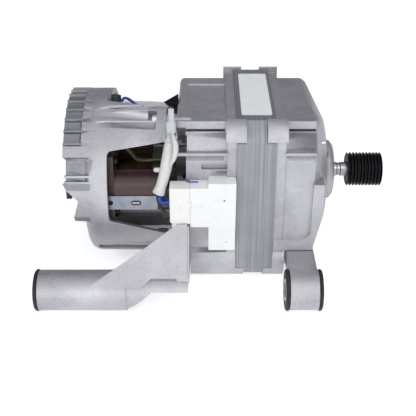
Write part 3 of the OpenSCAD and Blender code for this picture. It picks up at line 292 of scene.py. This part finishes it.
# %% Materials: moulded plastics
def moulded(name, dark, light, mottling, low, high, peel=0.12, **shader):
    """A moulded plastic: its tones, the size of its mottling in millimetres and its roughness."""
    made, tree, surface, where = start(name, **shader)
    patches = add(tree, "ShaderNodeTexNoise", {"Vector": (where, "Object"), "Scale": per(mottling),
        "Detail": 5.0, "Roughness": 0.65})
    tone = add(tree, "ShaderNodeValToRGB", {"Fac": (patches, "Fac")}, ramp=[(0.32, dark), (0.68, light)])
    satin = add(tree, "ShaderNodeMapRange", {"Value": (patches, "Fac"), "From Min": 0.3, "From Max": 0.7,
        "To Min": low, "To Max": high})
    fine = add(tree, "ShaderNodeTexNoise", {"Vector": (where, "Object"), "Scale": per(0.9), "Detail": 2.0})
    soft = add(tree, "ShaderNodeBevel", {"Radius": 0.00035}, samples=4)
    skin = add(tree, "ShaderNodeBump", {"Height": (fine, "Fac"), "Strength": peel, "Distance": 0.0003,
        "Normal": (soft, "Normal")})
    feed(tree, surface, Base_Color=(tone, "Color"), Roughness=(satin, "Result"), Normal=(skin, "Normal"))
    return made


# Glass-filled nylon, black and a little glossy
nylon = moulded("black_nylon", "#18191B", "#26282A", 4, 0.38, 0.55)
# Phenolic resin with wood flour: brown, with darker grains
phenolic = moulded("brown_phenolic_resin", "#291415", "#462A2B", 2.2, 0.32, 0.5, peel=0.2)
# Polyester resin, cool white
white_resin = moulded("white_polyester", "#F0F2F2", "#F8FAF9", 9, 0.35, 0.5)
# Nylon of the plug, a warmer white
cream_nylon = moulded("cream_nylon", "#EFF0EB", "#F6F6F1", 8, 0.32, 0.46)
# Graphite and resin, pressed: nearly black, with a soft sheen
graphite = moulded("pressed_graphite", "#1E1F21", "#34363A", 1.2, 0.35, 0.6, peel=0.35)
# Film of polyester, black and smooth
film = moulded("black_polyester_film", "#131415", "#1D1F21", 14, 0.22, 0.4, peel=0.05)
print("made the moulded plastics")

# %% [markdown]
# ## The pulley's coating
# The pulley and the small brush screws are steel under a thin black phosphate coat. The coat is smooth
# enough to give a thread of light on each crest, and a few dull patches make it uneven.

# %% Material: blackened steel
blackened, tree, surface, where = start("phosphated_steel", Metallic=0.2, Specular_IOR_Level=0.25)
film_noise = add(tree, "ShaderNodeTexNoise", {"Vector": (where, "Object"), "Scale": per(3), "Detail": 4.0})
black_tone = add(tree, "ShaderNodeValToRGB", {"Fac": (film_noise, "Fac")},
    ramp=[(0.3, "#08080B"), (0.7, "#101014")])
black_gloss = add(tree, "ShaderNodeMapRange", {"Value": (film_noise, "Fac"), "From Min": 0.3,
    "From Max": 0.7, "To Min": 0.4, "To Max": 0.52})
black_soft = add(tree, "ShaderNodeBevel", {"Radius": 0.0002}, samples=4)
black_skin = add(tree, "ShaderNodeBump", {"Height": (film_noise, "Fac"), "Strength": 0.1,
    "Distance": 0.0002, "Normal": (black_soft, "Normal")})
feed(tree, surface, Base_Color=(black_tone, "Color"), Roughness=(black_gloss, "Result"),
    Normal=(black_skin, "Normal"))
print("made", blackened.name)

# %% [markdown]
# ## Wire insulation
# The leads are insulated with soft PVC in the usual colours. PVC has an even satin gloss, slightly
# scuffed. The sleeve over them is glass fibre, woven and coated with silicone.

# %% Materials: insulation and sleeving
blue_pvc = moulded("blue_pvc", "#0C3E9C", "#144CB2", 5, 0.3, 0.45, peel=0.08)
dark_blue_pvc = moulded("dark_blue_pvc", "#0C3490", "#1A4CB4", 5, 0.32, 0.48, peel=0.08)
brown_pvc = moulded("brown_pvc", "#2A1509", "#40220F", 5, 0.32, 0.48, peel=0.08)
black_pvc = moulded("black_pvc", "#101112", "#1E1F21", 5, 0.3, 0.45, peel=0.08)
green_pvc = moulded("green_yellow_pvc", "#24250C", "#42431A", 6, 0.35, 0.5, peel=0.08)
glass_sleeving = moulded("coated_glass_sleeving", "#CFCFCE", "#E0E0DE", 3, 0.45, 0.62, peel=0.5)
print("made six soft plastics")

# %% [markdown]
# ## Dressing the solids
# Each solid gets the material of the real piece. A solid has one material slot, which is simply filled.

# %% Give each solid its material
FINISHES = {
    cast: ["rear_bracket", "rear_shell", "rear_arm_near", "rear_arm_far", "front_shell"],
    laminated: ["stator_core", "rotor_core"],
    turned: ["shaft", "rear_sleeve_near", "rear_sleeve_far", "front_sleeve_near", "front_sleeve_far",
        "wave_washer"],
    strip_steel: ["brush_strip_near", "brush_strip_far", "brush_spring_near", "brush_spring_far"],
    bearing: ["front_bearing_outer", "front_bearing_inner", "front_bearing_balls", "rear_bearing_outer",
        "rear_bearing_inner", "rear_bearing_balls"],
    winding: ["field_coil_upper", "field_coil_lower", "rotor_winding"],
    commutator_copper: ["commutator"],
    zinc: ["bracket_screws", "housing_bolts"],
    rubber: ["rear_bush_near", "rear_bush_far", "front_bush_near", "front_bush_far", "grommet"],
    nylon: ["tacho_cover", "tacho_coil", "tacho_magnet"],
    phenolic: ["brush_holder_near", "brush_holder_far"],
    graphite: ["carbon_brush_near", "carbon_brush_far"],
    film: ["coil_film"],
    blackened: ["pulley", "brush_screws"],
    white_resin: ["terminal_header", "cable_tie"],
    cream_nylon: ["wire_plug"],
    glass_sleeving: ["wire_sleeve"],
    blue_pvc: ["blue_wire", "lead_wire"],
    brown_pvc: ["brown_wire"],
    black_pvc: ["black_wire"],
    green_pvc: ["earth_wire"],
}
dressed = set()
for finish, names in FINISHES.items():
    for name in names:
        solids[name].data.materials.clear()
        solids[name].data.materials.append(finish)
        dressed.add(name)
print("dressed", len(dressed), "solids; left bare:", sorted(set(solids) - dressed))

# %% [markdown]
# ## The wires
# CAD drew each lead as an eight-sided tube along a few points. Here each is a round tube on the same
# smooth curve, with many more sides. A curve object with a bevel does this, and is then made a mesh.

# %% Helpers for leads
STEPS = 6


def between(a, b, c, d, t):
    """A point of the smooth curve from b to c, as the CAD drawing has it."""
    return [0.5 * (2 * q + (r - p) * t + (2 * p - 5 * q + 4 * r - s) * t * t
        + (3 * q - p - 3 * r + s) * t ** 3) for p, q, r, s in zip(a, b, c, d)]


def smooth_route(points):
    """The smooth curve through the points of a route, in so many steps from each point to the next."""
    last = len(points) - 1
    route = [between(points[max(i - 1, 0)], points[i], points[i + 1], points[min(i + 2, last)], k / STEPS)
        for i in range(last) for k in range(STEPS)]
    return route + [points[last]]


def tube(name, points, radius, finish, widths=None):
    """A round lead along a route in millimetres, as a mesh; widths scale it from end to end."""
    route = smooth_route(points)
    curve = bpy.data.curves.new(name, "CURVE")
    curve.dimensions = "3D"
    curve.bevel_depth = radius / 1000
    curve.bevel_resolution = 6
    curve.use_fill_caps = True
    line = curve.splines.new("POLY")
    line.points.add(len(route) - 1)
    for i, point in enumerate(route):
        line.points[i].co = list(place(*point)) + [1]
        if widths:
            spot = i / (len(route) - 1) * (len(widths) - 1)
            low = min(int(spot), len(widths) - 2)
            line.points[i].radius = widths[low] + (widths[low + 1] - widths[low]) * (spot - low)
    made = bpy.data.objects.new(name, curve)
    bpy.context.collection.objects.link(made)
    bpy.ops.object.select_all(action="DESELECT")
    made.select_set(True)
    bpy.context.view_layer.objects.active = made
    bpy.ops.object.convert(target="MESH")
    made = bpy.context.object
    made.data.materials.clear()
    made.data.materials.append(finish)
    bpy.ops.object.shade_smooth_by_angle(angle=math.radians(50))
    made.name = name
    made.select_set(False)
    return made


print("lead helpers ready")

# %% [markdown]
# ## The leads and the sleeve
# Three leads leave the plug and run up inside a sleeve of glass fibre, which keeps sharp edges off them.
# The earth lead and the thin lead of the speed sensor run inside the bracket. The routes are the CAD
# drawing's own, so the tubes lie where the solids lay. The sleeve swells and narrows, as a soft one does.

# %% The leads and the sleeve
BLUE = [(-48.6, -62.9, 12.6), (-49.2, -63.5, 10.4), (-47.9, -63.2, 8.4), (-46.2, -62.6, 7.4),
    (-44.6, -62.2, 7.2), (-41.7, -62, 7.2)]
BROWN = [(-49.9, -60.4, 12.6), (-50.4, -60.8, 10.3), (-49.9, -60.6, 6.4), (-48.4, -60.4, 2.4),
    (-46.6, -60.4, -0.6), (-44.8, -60.6, -2), (-41.7, -60.8, -2.2)]
BLACK = [(-48.4, -60.6, 11.9), (-48.2, -60.9, 10.4), (-46.7, -60.9, 9), (-45.2, -60.6, 10.4),
    (-44.8, -60.2, 12.8), (-44, -60, 15.2), (-42.2, -60, 16)]
SLEEVE = [(-42.2, -44.6, 50), (-42.4, -48, 44.6), (-42.9, -50.5, 38.8), (-44.1, -54, 32.1),
    (-45.8, -57.5, 25.3), (-48.1, -60, 18), (-49.8, -61, 13.2)]
EARTH = [(-85, -35.9, 38.5), (-84.4, -34.8, 37.4), (-81, -32, 34.4), (-77, -31, 33),
    (-72.2, -31, 31), (-70.4, -31, 29.2), (-67.9, -31, 25.9), (-65, -31, 22.6), (-60, -30, 21.4),
    (-50, -29.6, 22), (-32, -30, 22), (-13.1, -30, 22)]
LEAD = [(-76.6, -5.6, 53.9), (-75.6, -5.2, 54.7), (-74.4, -4, 55.3), (-72.2, -3.4, 54.6),
    (-69.6, -3.6, 52.8), (-66.6, -4.4, 50.6), (-61, -6.6, 47.6), (-52, -10, 44), (-42, -12, 40),
    (-30, -12, 39.2), (-13.1, -12, 39.2)]
WIRE_R = 1.3
leads = {
    "blue_wire": tube("blue_lead", BLUE, WIRE_R, blue_pvc),
    "brown_wire": tube("brown_lead", BROWN, WIRE_R - 0.3, brown_pvc),
    "black_wire": tube("black_lead", BLACK, WIRE_R - 0.2, black_pvc),
    "earth_wire": tube("earth_lead", EARTH, WIRE_R, green_pvc),
    "lead_wire": tube("coil_lead", LEAD, WIRE_R - 0.3, dark_blue_pvc),
}
for solid, lead in leads.items():
    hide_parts(solid)
    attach(lead, "housing")
sleeve = tube("sleeve", SLEEVE, 3.6, glass_sleeving, widths=[0.3, 0.82, 1.04, 1.1, 1.0, 0.96, 1.14])
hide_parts("wire_sleeve")
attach(sleeve, "housing")
print("leads:", ", ".join(lead.name for lead in leads.values()))

# %% [markdown]
# ## Blocks, cutters and copies
# The castings get a few more forms that are quicker to carve here than to draw in CAD. A block is a
# cube with a size and a place in millimetres. It can be yawed, pitched, tapered, rounded along its
# edges, and turned about the shaft, where 0 is the near side and 90 is straight up. A copy of a solid
# is merged first, because the CAD mesh is loose triangles, and it then takes the place of its solid.
# Every finished piece gets weighted normals, so that a wide flat face stays even beside its round edge.

# %% Helpers for shaping
def select_where(obj, kind, test):
    """Selects the vertices or the polygons of a mesh whose middle passes a test, in edit mode."""
    bpy.ops.object.mode_set(mode="OBJECT")
    mesh = obj.data
    for group in (mesh.vertices, mesh.edges, mesh.polygons):
        group.foreach_set("select", [False] * len(group))
    for item in getattr(mesh, kind):
        item.select = test(item.center if kind == "polygons" else item.co)
    bpy.ops.object.mode_set(mode="EDIT")


def done(obj, finish, body="housing", angle=40):
    """Leaves edit mode, puts the piece's place in its mesh, and gives it its finish and body."""
    if bpy.context.mode != "OBJECT":
        bpy.ops.object.mode_set(mode="OBJECT")
    bpy.ops.object.select_all(action="DESELECT")
    obj.select_set(True)
    bpy.context.view_layer.objects.active = obj
    bpy.ops.object.transform_apply(location=True, rotation=True, scale=True)
    obj.data.materials.clear()
    obj.data.materials.append(finish)
    bpy.ops.object.shade_smooth_by_angle(angle=math.radians(angle))
    level = obj.modifiers.new("level", "WEIGHTED_NORMAL")
    level.keep_sharp = True
    bpy.ops.object.modifier_apply(modifier="level")
    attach(obj, body)
    obj.select_set(False)
    return obj


def block(name, middle, size, yaw=0.0, pitch=0.0, turn=90.0, rounding=0.0, taper=1.0):
    """A box in the frame of the shaft, in millimetres, with its place already in its mesh."""
    bpy.ops.object.select_all(action="DESELECT")
    bpy.ops.mesh.primitive_cube_add(size=0.001)
    made = bpy.context.object
    made.name = name
    made.scale = size
    bpy.ops.object.transform_apply(location=False, rotation=False, scale=True)
    if taper != 1.0:
        select_where(made, "polygons", lambda middle: middle.z > 0.00001)
        bpy.ops.transform.resize(value=(1, taper, 1), center_override=(0, 0, 0))
        bpy.ops.object.mode_set(mode="OBJECT")
    if rounding:
        bpy.ops.object.mode_set(mode="EDIT")
        bpy.ops.mesh.select_mode(type="EDGE")
        bpy.ops.mesh.select_all(action="SELECT")
        bpy.ops.mesh.bevel(offset=rounding / 1000, segments=3, affect="EDGES")
        bpy.ops.object.mode_set(mode="OBJECT")
    return seat(made, middle, yaw, pitch, turn)


def seat(made, middle, yaw=0.0, pitch=0.0, turn=90.0):
    """Moves a mesh that was made around the origin to its place around the shaft."""
    axis = Matrix.Translation(place(0, 0, 0)) @ Matrix.Rotation(math.radians(90 - turn), 4, "X")
    spot = Matrix.Translation(Vector(middle) / 1000)
    lean = Matrix.Rotation(math.radians(yaw), 4, "Z") @ Matrix.Rotation(math.radians(pitch), 4, "Y")
    made.matrix_world = axis @ spot @ lean @ made.matrix_world
    bpy.ops.object.select_all(action="DESELECT")
    made.select_set(True)
    bpy.context.view_layer.objects.active = made
    bpy.ops.object.transform_apply(location=True, rotation=True, scale=True)
    return made


def rod(name, middle, radius, length, along="X", pitch=0.0, turn=90.0, sides=32):
    """A round bar in the frame of the shaft, along one of its axes."""
    bpy.ops.object.select_all(action="DESELECT")
    way = {"X": (0, math.radians(90), 0), "Y": (math.radians(90), 0, 0), "Z": (0, 0, 0)}[along]
    bpy.ops.mesh.primitive_cylinder_add(vertices=sides, radius=radius / 1000, depth=length / 1000,
        rotation=way)
    made = bpy.context.object
    made.name = name
    return seat(made, middle, pitch=pitch, turn=turn)


def as_one(pieces):
    """Joins pieces into the first of them."""
    bpy.ops.object.select_all(action="DESELECT")
    for piece in pieces:
        piece.select_set(True)
    bpy.context.view_layer.objects.active = pieces[0]
    if len(pieces) > 1:
        bpy.ops.object.join()
    return bpy.context.object


def carve(piece, tools):
    """Takes the space of the tools out of a piece, and removes the tools."""
    tool = as_one(tools)
    bpy.ops.object.select_all(action="DESELECT")
    bpy.context.view_layer.objects.active = piece
    piece.select_set(True)
    change = piece.modifiers.new("change", "BOOLEAN")
    change.operation = "DIFFERENCE"
    change.object = tool
    change.solver = "EXACT"
    change.use_self = len(tools) > 1
    bpy.ops.object.modifier_apply(modifier="change")
    bpy.data.objects.remove(tool, do_unlink=True)


def free_copy(node, name):
    """A merged copy of a solid that may be reshaped."""
    bpy.ops.object.select_all(action="DESELECT")
    made = solids[node].copy()
    made.data = solids[node].data.copy()
    made.name = name
    bpy.context.collection.objects.link(made)
    made.select_set(True)
    bpy.context.view_layer.objects.active = made
    bpy.ops.object.mode_set(mode="EDIT")
    bpy.ops.mesh.select_all(action="SELECT")
    bpy.ops.mesh.remove_doubles(threshold=0.000002)
    bpy.ops.mesh.dissolve_limited(angle_limit=math.radians(0.2))
    bpy.ops.object.mode_set(mode="OBJECT")
    return made


print("shaping helpers ready")

# %% [markdown]
# ## The cooling fins
# Round the rear bracket run thin cooling fins with shallow pockets between them. They are cast, so
# their flanks slope a little, which lets the casting leave its mould. The pockets are carved out of a
# copy of the bracket, and each fin is a tapered bar that stands in its groove.

# %% Carve the bracket and set its fins
# The angle of the first fin, the angle from one to the next, and how many there are
FIN_FROM = 43
FIN_STEP = 9
FINS = 16
bracket = free_copy("rear_bracket", "bracket_casting")
carve(bracket, [block(f"pocket_{k}", (-106.4, 0, 58.6), (12.6, 7.3, 6.6),
    turn=FIN_FROM + (k + 0.5) * FIN_STEP, rounding=1.6) for k in range(FINS - 1)])
# The far edge of the upper leg runs lower towards its foot
carve(bracket, [block("leg_trim", (-61, 14.4, 50), (44, 30, 30), yaw=-11, turn=75.4)])
done(bracket, cast, angle=32)
# Behind this place along the shaft lies the rim, whose sides take the darker copy as painted shade; its
# rear face keeps the plain metal
RIM_X = -99
bracket.data.materials.append(shaded_rim_cast)
rim_edge = place(RIM_X, 0, 0).x
for face in bracket.data.polygons:
    if face.center.x < rim_edge and abs(face.normal.x) < 0.9:
        face.material_index = 1
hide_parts("rear_bracket")
fins = as_one([block(f"fin_{k}", (-105.6, 0, 55.4), (12.2, 3.0, 4.0),
    turn=FIN_FROM + k * FIN_STEP, taper=0.5) for k in range(FINS)])
fins.name = "cooling_fins"
# The fins take the darker copy too, as painted shade
done(fins, shaded_rim_cast, angle=30)
print("fins:", FINS, "bracket faces:", len(bracket.data.polygons))

# %% [markdown]
# ## The channel of the upper leg
# The screw of the upper leg is reached through a round channel. Towards the rim the channel grows
# shallow and runs out. The solid has it at one depth, so it is lined here with a bar, and a round rod
# that leans by a few degrees takes the sloping hollow out of the bar.

# %% Line the channel of the upper leg
LEG_TURN = 64.5
lining = block("channel_lining", (-75.4, 0, 52.2), (35.8, 9.1, 9.5), turn=LEG_TURN)
carve(lining, [rod("channel_hollow", (-74, 0, 59.2), 4.1, 46, pitch=7, turn=LEG_TURN, sides=48)])
done(lining, cast, angle=40)
print("channel lining:", len(lining.data.polygons), "faces")

# %% [markdown]
# ## Slots and round edges of the shells
# Along the near upper corner of each shell runs a pair of thin ribs. Under the upper one is a deep slot
# and under the lower one a sloping step, and both read as dark lines. The rear shell is open between
# the ribs at its end. The end edges on the top are rounded over, and the rounding goes on round the far
# corner. It is carved as a few flats that touch the same circle, one set for each part of the corner.

# %% Carve the shells
# The shell's corner is a quarter circle of EDGE_R around a point CORNER out along Y and along Z
EDGE_R = 19.6
CORNER = 34.4
RIB_TURN = 47.2


def round_over(x, way, radius, leans, arc):
    """Cutters that round the end edge at x over the top and an arc of the far corner, in degrees."""
    flats = []
    for lean in leans:
        out = Vector((way * math.cos(math.radians(lean)), 0, math.sin(math.radians(lean))))
        for beyond in range(0, arc + 1, 10):
            along = math.cos(math.radians(beyond))
            across = math.sin(math.radians(beyond))
            middle, width = (CORNER * (along - across), 3.9) if beyond else (12, 48)
            height = CORNER * (along + across) + EDGE_R
            centre = Vector((x - way * radius, middle, height - radius)) + out * (radius + 2)
            flats.append(block("flat", centre, (4, width, 12), pitch=-lean * way, turn=90 + beyond))
    return flats


def wedge(x, length):
    """The cutter of the step under the lower rib: its floor slopes outward."""
    made = block("step", (x, -53.1, 35.0), (length, 5.6, 5.0))
    low = place(0, -51, 33.5)
    select_where(made, "vertices", lambda spot: spot.y > low.y and spot.z < low.z)
    bpy.ops.transform.translate(value=(0, -0.0036, 0))
    bpy.ops.object.mode_set(mode="OBJECT")
    return made


rear = free_copy("rear_shell", "rear_casting")
carve(rear, [block("slot", (-19.9, 0.7, 66), (24.6, 1.7, 12), turn=RIB_TURN), wedge(-20.1, 24.2),
    block("end_recess", (-35.2, 1.7, 65), (7.4, 11, 14), turn=39, rounding=0.6)]
    + round_over(-38.2, -1, 3.4, (20, 45, 70), 50))
done(rear, cast, angle=32)
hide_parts("rear_shell")
front = free_copy("front_shell", "front_casting")
carve(front, [block("slot", (41.6, 0.7, 66), (17, 1.7, 12), turn=RIB_TURN), wedge(41.4, 17.4)]
    + round_over(50.4, 1, 3.4, (56, 78), 30))
done(front, cast, angle=32)
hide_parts("front_shell")
print("shell faces:", len(rear.data.polygons), len(front.data.polygons))

# %% [markdown]
# ## Soft edges on the plastics
# A moulded piece never has a sharp edge: the mould is rounded, and the seam between header and plug
# shows as a fine dark groove between two round edges. Copies of these two and of the near brush holder
# get a real bevel for this. The header also has two tiny holes, where the mould's pins stood.

# %% Round the edges of the header, the plug and the near holder
def soften(node, name, finish, radius, holes=()):
    """Puts a copy with rounded edges, and with holes if there are any, in the place of a solid."""
    made = free_copy(node, name)
    edges = made.modifiers.new("round", "BEVEL")
    edges.width = radius / 1000
    edges.segments = 3
    edges.limit_method = "ANGLE"
    edges.angle_limit = math.radians(40)
    bpy.ops.object.modifier_apply(modifier="round")
    if holes:
        carve(made, holes)
    done(made, finish, angle=40)
    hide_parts(node)
    return made


pin_holes = [rod("pin_hole", (-7.7, -66, 10.5), 0.7, 6, along="Y"),
    rod("pin_hole", (-6.4, -66, -20.5), 0.6, 6, along="Y")]
header = soften("terminal_header", "header_moulding", white_resin, 0.45, pin_holes)
plug = soften("wire_plug", "plug_moulding", cream_nylon, 0.5)
holder = soften("brush_holder_near", "near_holder", phenolic, 1.4)
print("rounded:", ", ".join(piece.name for piece in (header, plug, holder)))

# %% [markdown]
# ## The cable tie and small things
# The tie has a rounded head with its tail standing up, and a flat band round the sleeve. The sleeve's
# cut end is folded over beside it. A thin blue thread lies on the header, a cast nub on the nose has a
# bright zinc finish as a painted glint, and the insulated end of a brush lead lies on the holder. A tab
# shows through the strip's slot, and three black sheets fill the open corner of the rear shell as painted
# shade.

# %% The tie, the fold of the sleeve and the small pieces
# Red marking paint, on the tie's tip
red_lacquer = moulded("red_lacquer", "#7A0A22", "#9C1230", 2, 0.25, 0.4)
# Undyed nylon, a pale grey
tie_nylon = moulded("undyed_nylon", "#BDC0C4", "#CCCFD2", 4, 0.35, 0.5)
head = block("tie_head", (-41.3, -49.6, 54.3), (6.4, 5.0, 8.4), rounding=1.5)
tail = block("tie_tail", (-41.0, -50.6, 62.4), (3.6, 1.5, 9.4), rounding=0.6)
bpy.ops.object.select_all(action="DESELECT")
bpy.ops.mesh.primitive_torus_add(major_radius=0.0036, minor_radius=0.0008, major_segments=40,
    minor_segments=10)
band = bpy.context.object
band.rotation_euler = (math.radians(32), 0, 0)
band.scale = (1, 1, 2)
bpy.ops.object.transform_apply(location=False, rotation=True, scale=True)
band = seat(band, (-42.3, -48, 45.6))
tie = as_one([head, tail, band])
tie.name = "tie"
done(tie, tie_nylon)
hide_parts("cable_tie")
done(block("red_tip", (-41.5, -49.7, 67.0), (2.8, 1.3, 1.8), rounding=0.5), red_lacquer)
FOLD = [(-40.6, -50.5, 50.2), (-39, -55.4, 47), (-38.4, -57.2, 42.5), (-39.6, -58.4, 37),
    (-42.2, -58.6, 31.6)]
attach(tube("sleeve_fold", FOLD, 1.7, glass_sleeving, widths=[0.4, 1.0, 1.15, 0.95, 0.5]), "housing")
THREAD = [(-32, -57.0, 19.6), (-29.5, -57.6, 19.75), (-27, -57.4, 19.65), (-24.4, -57.8, 19.6)]
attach(tube("blue_thread", THREAD, 0.4, blue_pvc), "housing")
# A cast nub on the nose, given the bright zinc finish as a painted glint
done(rod("nub_with_painted_glint", (55.6, -37.3, 37.8), 0.95, 4.6, sides=20), zinc)
done(block("lead_end", (-51, -46, 22.4), (4.8, 2.8, 2.8), rounding=1.0), cream_nylon)
done(block("slot_tab", (-65.6, -49.3, -0.4), (5.4, 1.0, 1.6), rounding=0.45), cast)
# Three black sheets fill the open corner of the rear shell, as painted shade
done(block("shade_sheet_flap", (-35.2, -43.5, 26.5), (7.6, 0.6, 23), rounding=0.2), film)
done(block("shade_sheet_edge", (-40.6, -41, 41), (4.6, 0.6, 22), rounding=0.2), film)
done(block("shade_sheet_corner", (-40.2, 4.5, 39.8), (6.6, 0.5, 7), rounding=0.2), film)
print("small pieces done")

# %% [markdown]
# ## The bare label
# A foil label lies on top of the stack. It is a thin sheet with rounded corners, and here it stays bare.
# It starts as a plane whose corners are bevelled, and then it is extruded.

# %% The bare label
# Silvered polyester foil, printed white
label_foil = moulded("label_foil", "#F3F5F7", "#FCFDFE", 6, 0.3, 0.42, peel=0.06)
# The label's length along the shaft and its width, in millimetres
LABEL_X = 19.6
LABEL_Y = 75
# Its thickness and its corner radius, in metres
LABEL_THICK = 0.00012
LABEL_R = 0.0015
bpy.ops.object.select_all(action="DESELECT")
bpy.ops.mesh.primitive_plane_add(size=0.001, location=place(13, -0.5, 57.34))
label = bpy.context.object
label.name = "bare_label"
label.scale = (LABEL_X, LABEL_Y, 1)
bpy.ops.object.transform_apply(location=False, rotation=False, scale=True)
bpy.ops.object.mode_set(mode="EDIT")
bpy.ops.mesh.select_mode(type="VERT")
bpy.ops.mesh.select_all(action="SELECT")
bpy.ops.mesh.bevel(offset=LABEL_R, segments=5, affect="VERTICES")
bpy.ops.mesh.select_all(action="SELECT")
bpy.ops.mesh.extrude_region_move(TRANSFORM_OT_translate={"value": (0, 0, LABEL_THICK)})
bpy.ops.mesh.select_all(action="SELECT")
bpy.ops.mesh.normals_make_consistent(inside=False)
done(label, label_foil, angle=30)
print("label is", [round(d * 1000, 1) for d in label.dimensions], "mm")

# %% [markdown]
# ## Floor, light and background
# The motor stands on a pale floor under soft studio light. A wide lamp in front gives the near faces
# their plain level, one higher up on the right lights the slopes, and a broad one above lights the
# tops. The floor shines a little by itself, but only for the camera, in reflections and through clear
# things, so that it reads as white and still keeps the shadow. It is wide enough to lie behind the
# motor in the views from the side.

# %% Floor, lamps and world
FLOOR_SIZE = 60
FLOOR_GLOW = 0.6
bpy.ops.mesh.primitive_plane_add(size=FLOOR_SIZE, location=(0, 0, 0))
floor = bpy.context.object
floor.name = "floor"
floor_paint, tree, surface, where = start("floor_paint", Roughness=0.9, Specular_IOR_Level=0.1)
surface.inputs["Base Color"].default_value = linear("#F2F3F4")
ray = add(tree, "ShaderNodeLightPath")
seen = add(tree, "ShaderNodeMath", {}, operation="MAXIMUM")
tree.links.new(ray.outputs["Is Camera Ray"], seen.inputs[0])
tree.links.new(ray.outputs["Is Glossy Ray"], seen.inputs[1])
also = add(tree, "ShaderNodeMath", {}, operation="MAXIMUM")
tree.links.new(seen.outputs["Value"], also.inputs[0])
tree.links.new(ray.outputs["Is Transmission Ray"], also.inputs[1])
share = add(tree, "ShaderNodeMath", {}, operation="MULTIPLY")
tree.links.new(also.outputs["Value"], share.inputs[0])
share.inputs[1].default_value = FLOOR_GLOW
glow = add(tree, "ShaderNodeEmission", {"Color": "#FFFFFF", "Strength": (share, "Value")})
both = add(tree, "ShaderNodeAddShader")
tree.links.new(surface.outputs["BSDF"], both.inputs[0])
tree.links.new(glow.outputs["Emission"], both.inputs[1])
tree.links.new(both.outputs["Shader"], tree.nodes["Material Output"].inputs["Surface"])
floor.data.materials.append(floor_paint)


def lamp(name, location, target, size, power):
    """A square soft lamp that looks at a point."""
    bpy.ops.object.light_add(type="AREA", location=location)
    made = bpy.context.object
    made.name = name
    made.data.size = size
    made.data.energy = power
    made.rotation_euler = (Vector(target) - Vector(location)).to_track_quat("-Z", "Y").to_euler()
    return made


lamp("front_lamp", (-0.3, -1.6, 0.5), (0, 0, 0.05), 1.1, 11)
lamp("high_lamp", (0.35, -1.1, 1.2), (0, 0, 0.05), 0.9, 6)
lamp("top_lamp", (0.1, -0.4, 1.7), (0, 0, 0), 1.6, 7)
world = bpy.data.worlds.new("studio")
bpy.context.scene.world = world
world.use_nodes = True
backdrop = world.node_tree.nodes["Background"]
backdrop.inputs["Color"].default_value = linear("#96989C")
backdrop.inputs["Strength"].default_value = 1.0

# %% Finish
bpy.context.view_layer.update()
